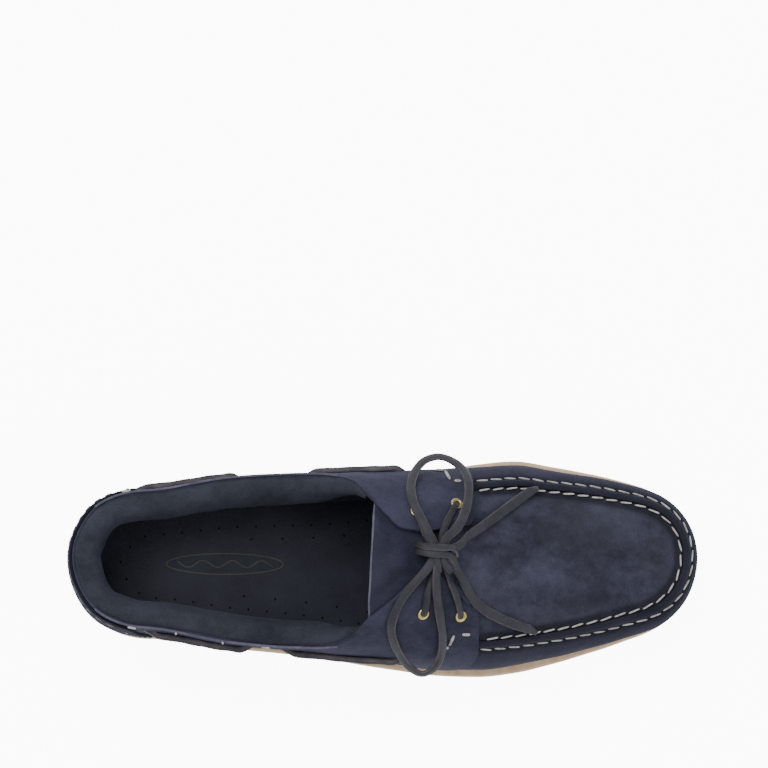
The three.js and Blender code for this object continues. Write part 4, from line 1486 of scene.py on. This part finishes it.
vampWall = makeVampWall()
paintSeamShade(vampWall)
finishPiece(vampWall, "suede", finish["vamp"], finish["edge"])
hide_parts("upper")
apron = makeApron()
paintSeamShade(apron)
finishPiece(apron, "suede", finish["apron"], finish["edge"])
for side in ("medial", "lateral"):
    quarter = makeQuarter(side)
    finishPiece(quarter, "suede", finish["quarter"], finish["edge"])
patch = makeHeelPatch()
finishPiece(patch, "patch_leather", finish["patch"], finish["edge"])
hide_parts("heel_patch")
tonguePiece = makeTongue()
finishPiece(tonguePiece, "tongue_suede", finish["tongue"], finish["edge"])
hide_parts("tongue")
bead = makeTongueBead()
finishPiece(bead, "tongue_suede", finish["edge"])
collarPiece = makeCollar()
finishPiece(collarPiece, "lining_leather", finish["collar"], finish["collar"])
finishPiece(makeTopEdges(), "suede", finish["edge"])
liner = makeLiner()
finishPiece(liner, "lining_leather", finish["liner"], finish["liner"])
print("upper made")

# insole
insole = {
    "inset": 0.0027,
    "thick": 0.0028,
    "round": 0.0012,
    "rings": 260,
    "hole": 0.0005,
    "rows": ((0.0185, 0.0085), (0.0245, 0.0145)),
    "heelMore": 0.0045,
}


def slabPiece(name, levels, count):
    # rings up the sole's edge; strips of faces straight across close the underside and the top
    rings = []
    half = count // 2
    for inset, height in levels:
        edge = edgeRing(count, inset)
        rings.append(np.column_stack([edge, height(edge[:, 0])]))
    rings = np.array(rings)
    wrapped = np.concatenate([rings, rings[:, :1]], axis=1)
    side = layGrid(name + "Side", wrapped.transpose(1, 0, 2))
    shares = np.linspace(0, 1, 17)[None, :, None]
    parts = [side]
    for label, ring, flip in (("Under", rings[0], False), ("Top", rings[-1], True)):
        inner = ring[: half + 1]
        outer = np.concatenate([ring[:1], ring[half:][::-1]])
        strip = outer[:, None, :] * (1 - shares) + inner[:, None, :] * shares
        strip = strip if flip else strip[::-1]
        parts.append(layGrid(name + label, strip[::-1]))
    piece = joinAs(name, parts)
    mergeDoubles(piece, 0.00003)
    pointOutward(piece)
    return piece


def makeInsole():
    base = last["gap"]
    ringAt = (1 - np.cos(np.pi * np.arange(insole["rings"]) * 2 / insole["rings"])) / 2
    full = curveThrough(last["sections"], 1, ringAt) + insole["inset"]
    piece = slabPiece(
        "insole",
        [
            (full + 0.0003, lambda x: soleHeight(2, x) + base),
            (full, lambda x: soleHeight(2, x) + base + insole["thick"] - insole["round"]),
            (full + 0.0004, lambda x: soleHeight(2, x) + base + insole["thick"] - 0.0004),
            (full + insole["round"], lambda x: soleHeight(2, x) + base + insole["thick"]),
        ],
        insole["rings"],
    )
    smooth(piece, 50)
    return piece


def insoleTop(x):
    return soleHeight(2, x) + last["gap"] + insole["thick"]


def makePerforations():
    places = []
    ringAt = (1 - np.cos(np.pi * np.arange(720) / 360)) / 2
    heelMore = insole["heelMore"] * (1 - smoothStep(0.03, 0.14, ringAt))
    for inset, step in insole["rows"]:
        outline = edgeRing(720, inset + heelMore)
        loop = evenLine(np.vstack([outline, outline[:1]]), step)
        places += [(x, y) for x, y in loop[:-1] if x < 0.012 and (step < 0.01 or x > -0.07)]
    # each hole is a near-black disc sunk in the insole: painted shade inside the perforation
    bpy.ops.mesh.primitive_cylinder_add(vertices=10, radius=insole["hole"], depth=0.0006)
    model = bpy.context.object
    matrices = [Matrix.Translation((x, y, float(insoleTop(x)) - 0.00022)) for x, y in places]
    return copyAlong("insoleHoles", model, matrices)


insolePiece = makeInsole()
finishPiece(insolePiece, "insole_leather", finish["insole"])
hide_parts("insole")
holes = makePerforations()
finishPiece(holes, "insole_leather", finish["dark"])

# a stamped oval with a wave in it, where a maker would set a mark
stamp = {"middle": (-0.074, 0.0010), "half": (0.027, 0.0048), "waves": 4, "swell": 0.0016, "wide": 0.0008}


def stampLine(name, xs, ys):
    places = [(stamp["middle"][0] + x, stamp["middle"][1] + y) for x, y in zip(xs, ys)]
    route = [(x, y, float(insoleTop(x)) - 0.00006) for x, y in places]
    line, _ = sweepLace(name, route, 0.0, None, stamp["wide"], 0.0004)
    return line


round_ = np.linspace(0, 2 * math.pi, 49)
oval = stampLine("stampOval", stamp["half"][0] * np.cos(round_), stamp["half"][1] * np.sin(round_))
xs = np.linspace(-0.82, 0.82, 41)
wave = stampLine(
    "stampWave", stamp["half"][0] * xs, stamp["swell"] * np.sin(xs * math.pi * stamp["waves"])
)
stampPiece = joinAs("insoleStamp", [oval, wave])
finishPiece(stampPiece, "insole_leather", finish["emboss"])
print("insole made")

# outsole
outsole = {
    "rings": 360,
    "grooveTop": 0.0042,
    "groove": 0.0004,
    "sipeWidth": 0.0009,
    "sipeDepth": 0.0020,
    "swing": 0.0022,
    "folds": 14,
    "forefoot": (0.50, 0.93, 0.0062),
    "heel": (0.03, 0.245, 0.0062),
}


def makeOutsole():
    def under(x):
        return soleHeight(1, x)

    def top(x):
        return soleHeight(2, x)

    groove = outsole["grooveTop"]
    levels = [
        (0.0032, under),
        (0.0020, lambda x: under(x) + 0.0005),
        (0.0012, lambda x: under(x) + 0.0016),
        (0.0009, lambda x: under(x) * 0.6 + top(x) * 0.4 - 0.0006),
        (0.0002, lambda x: top(x) - 0.0052),
        (0.0001, lambda x: top(x) - groove - 0.0004),
        (outsole["groove"], lambda x: top(x) - groove - 0.0001),
        (outsole["groove"], lambda x: top(x) - groove + 0.0002),
        (0.0, lambda x: top(x) - groove + 0.0005),
        (0.0, lambda x: top(x) - 0.0015),
        (0.0002, lambda x: top(x) - 0.0008),
        (0.0006, lambda x: top(x) - 0.0003),
        (0.0012, top),
    ]
    body = slabPiece("outsole", levels, outsole["rings"])
    cutters = []
    for first, final, step in (outsole["forefoot"], outsole["heel"]):
        x = (first - 0.5) * last["length"]
        while x < (final - 0.5) * last["length"]:
            cutters.append(makeSipe(x, under(x)))
            x += step
    cutter = joinAs("treadSipes", cutters)
    pick(body)
    tread = body.modifiers.new("tread", "BOOLEAN")
    tread.operation = "DIFFERENCE"
    tread.solver = "EXACT"
    tread.object = cutter
    applyModifiers(body)
    bpy.data.objects.remove(cutter)
    smooth(body, 35)
    return body


def makeSipe(x, height):
    # a thin wavy cut across the tread
    count = outsole["folds"] * 4
    y = np.linspace(-0.058, 0.058, count + 1)
    wave = outsole["swing"] * np.sin(y / 0.058 * math.pi * outsole["folds"] / 2)
    half = outsole["sipeWidth"] / 2
    low = height - 0.012
    high = height + outsole["sipeDepth"]
    ring = [(-half, low), (half, low), (half, high), (-half, high), (-half, low)]
    rows = np.array([[(x + w + a, v, z) for a, z in ring] for v, w in zip(y, wave)])
    start, end = [row.mean(axis=1, keepdims=True).repeat(5, axis=1) for row in (rows[:1], rows[-1:])]
    piece = layGrid("sipe", np.concatenate([start, rows, end]))
    pointOutward(piece)
    return piece


outsolePiece = makeOutsole()
finishPiece(outsolePiece, "rubber_sole", finish["rubber"])
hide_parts("outsole")
print("outsole made, triangles", sum(len(p.vertices) - 2 for p in outsolePiece.data.polygons))


# side laces through their slots
sideLace = {
    "line": [(0.1, 20.0), (0.3, 15.0), (0.4, 17.0), (0.55, 24.0)],
    "lengths": {
        "sideLaceMedialRear": ("side_lace_medial_rear", "medial", 0.108, 0.285),
        "sideLaceMedialFront": ("side_lace_medial_front", "medial", 0.365, 0.54),
        "sideLaceLateralRear": ("side_lace_lateral_rear", "lateral", 0.125, 0.30),
        "sideLaceLateralFront": ("side_lace_lateral_front", "lateral", 0.33, 0.54),
    },
    "width": 0.0038,
    "thick": 0.0032,
    "points": 15,
    "lift": 0.0018,
    "dive": 0.0042,
    "diveShare": 0.14,
    "overPatch": 0.0012,
    "patchEnds": (0.114, 0.134),
}


def sideAlong(side, at):
    rings = ringOf(side, at)
    turn = curveThrough(sideLace["line"], 1, at)
    return rings, np.array([alongAtTurn(r, t) for r, t in zip(rings, turn)])


for name, (node, side, first, final) in sideLace["lengths"].items():
    at = np.linspace(first, final, sideLace["points"])
    rings, along = sideAlong(side, at)
    share = np.linspace(0, 1, sideLace["points"])
    dive = sideLace["diveShare"]
    sink = 1 - smoothStep(0, dive, share) * (1 - smoothStep(1 - dive, 1, share))
    over = sideLace["overPatch"] * (1 - smoothStep(*sideLace["patchEnds"], at))
    lift = sideLace["lift"] + over - sink * sideLace["dive"]
    points, out = onLast(rings, along, lift, normals=True)
    piece, _ = sweepLace(name, points, 0.0, None, sideLace["width"], sideLace["thick"], out[0])
    finishPiece(piece, "rawhide", finish["lace"])
    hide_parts(node)
print("side laces run")


# stitching
stitch = {
    "length": 0.0056,
    "thick": 0.00092,
    "slant": 0.13,
    "outer": -0.0031,
    "inner": 0.0033,
    "from": 0.640,
}


patchSewing = {
    "inset": 0.012,
    "low": 0.004,
    "headRoom": 0.00264,
    "down": 0.0026,
    "pitch": 0.0056,
    "length": 0.0034,
    "thick": 0.0008,
}


def stitchModel(length, thick):
    bpy.ops.mesh.primitive_uv_sphere_add(segments=8, ring_count=8, radius=0.5)
    model = bpy.context.object
    coords = np.array([vertex.co[:] for vertex in model.data.vertices])
    turned = np.column_stack([coords[:, 2], coords[:, 0], coords[:, 1]]) * 2
    blunt = np.sign(turned[:, 0]) * np.abs(turned[:, 0]) ** 0.7
    around = np.hypot(turned[:, 1], turned[:, 2])
    fat = np.sqrt(np.clip(1 - np.abs(blunt) ** 4, 0, 1)) / np.maximum(around, 0.001)
    wide = turned[:, 1] * fat * thick / 2
    high = turned[:, 2] * fat * thick * 0.42
    shaped = np.column_stack([blunt * length / 2, wide, high])
    model.data.vertices.foreach_set("co", shaped.astype(np.float32).ravel())
    model.data.update()
    for polygon in model.data.polygons:
        polygon.use_smooth = True
    return model


def rowMatrices(rings, along, lift, pitch, slant, skip=0.0):
    line, normals = onLast(rings, along, lift, normals=True)
    run = np.concatenate([[0], np.cumsum(np.linalg.norm(np.diff(line, axis=0), axis=1))])
    matrices = []
    for middle in np.arange(skip + pitch / 2, run[-1] - pitch / 3, pitch):
        point = [np.interp(middle, run, line[:, c]) for c in range(3)]
        before = np.array([np.interp(middle - pitch / 3, run, line[:, c]) for c in range(3)])
        after = np.array([np.interp(middle + pitch / 3, run, line[:, c]) for c in range(3)])
        normal = np.array([np.interp(middle, run, normals[:, c]) for c in range(3)])
        normal = normal / np.linalg.norm(normal)
        tangent = after - before
        side = np.cross(normal, tangent)
        matrices.append(facing(point, tangent + side * slant, normal))
    return matrices


def seamStitches():
    rings = coverRings(stitch["from"], stitch["from"], 900)
    matrices = []
    outerRow = (stitch["outer"], -stitch["slant"], 0.0)
    innerRow = (stitch["inner"], stitch["slant"], 0.001)
    for offset, slant, skip in (outerRow, innerRow):
        along = perRing(last["seam"], rings) + offset
        lift = bandHeight(rings, offset * 0.8) + 0.0002
        matrices += rowMatrices(rings, along, lift, seamBand["pitch"], slant, skip)
    model = stitchModel(stitch["length"], stitch["thick"])
    return copyAlong("seamStitches", model, matrices)


handStitch = {
    "length": 0.005,
    "thick": 0.0012,
    "flapLift": 0.0022,
    "onFlaps": [  # both ends in plan
        (0.0228, 0.0402, 0.0268, 0.0402),
        (0.0272, 0.0400, 0.0292, 0.0352),
        (0.0310, 0.0346, 0.0342, 0.0346),
        (0.0282, -0.0365, 0.0302, -0.0322),
        (0.0262, -0.0372, 0.0280, -0.0372),
        (0.0338, -0.0318, 0.0375, -0.0318),
    ],
    "alongTop": [("medial", 0.098), ("lateral", 0.108), ("lateral", 0.315)],
    "overTop": [0.177, 0.249],  # on the outer side
}


def loneStitches():
    # hand stitches that hold the flaps' corners, and those along and over the top line
    matrices = []
    for x1, y1, x2, y2 in handStitch["onFlaps"]:
        ring1, run1 = overPlan(x1, y1)
        ring2, run2 = overPlan(x2, y2)
        first, normal = onLast(ring1, run1, handStitch["flapLift"], normals=True)
        second = onLast(ring2, run2, handStitch["flapLift"])
        span = np.linalg.norm(second - first)
        matrix = facing((first + second) / 2, second - first, normal)
        matrices.append(matrix @ Matrix.Diagonal((span / handStitch["length"], 1.25, 1.25, 1)))
    for side, at in handStitch["alongTop"]:
        rings = ringOf(side, np.array([at - 0.006, at + 0.006]))
        ends, out = onLast(rings, perRing(last["top"], rings) - 0.0002, 0.0014, normals=True)
        matrix = facing(ends.mean(axis=0), ends[1] - ends[0], out[0])
        matrices.append(matrix @ Matrix.Diagonal((0.8, 1.3, 1.1, 1)))
    for at in handStitch["overTop"]:
        ring = float(ringOf("lateral", at))
        top = float(perRing(last["top"], ring))
        reach = np.array([top - 0.0022, top + 0.0006])
        ends, out = onLast(np.array([ring, ring]), reach, 0.0012, normals=True)
        matrix = facing(ends.mean(axis=0), ends[1] - ends[0], out[0])
        matrices.append(matrix @ Matrix.Diagonal((0.6, 0.8, 1.2, 1)))
    model = stitchModel(handStitch["length"], handStitch["thick"])
    return copyAlong("cornerStitches", model, matrices)


def patchStitches():
    matrices = []
    lift = heelPatch["lift"] + 0.0002
    v = np.linspace(0, 1, 120)
    for sign in (-1, 1):
        reach = patchReach(v) - patchSewing["inset"]
        top = perRing(last["top"], sign * reach) - heelPatch["below"]
        runs = patchSewing["low"] + (top - patchSewing["low"] - patchSewing["headRoom"]) * v
        matrices += rowMatrices(sign * reach, runs, lift, patchSewing["pitch"], 0.0)
    reach = float(patchReach(1.0)) - 2 * patchSewing["inset"]
    rings = np.linspace(-reach, reach, 300)
    along = perRing(last["top"], rings) - heelPatch["below"] - patchSewing["down"]
    matrices += rowMatrices(rings, along, lift, patchSewing["pitch"], 0.0)
    model = stitchModel(patchSewing["length"], patchSewing["thick"])
    return copyAlong("heelPatchStitches", model, matrices)


for piece in (seamStitches(), loneStitches()):
    finishPiece(piece, "thread", finish["thread"])
finishPiece(patchStitches(), "thread", finish["patchThread"])
print("stitches sewn")
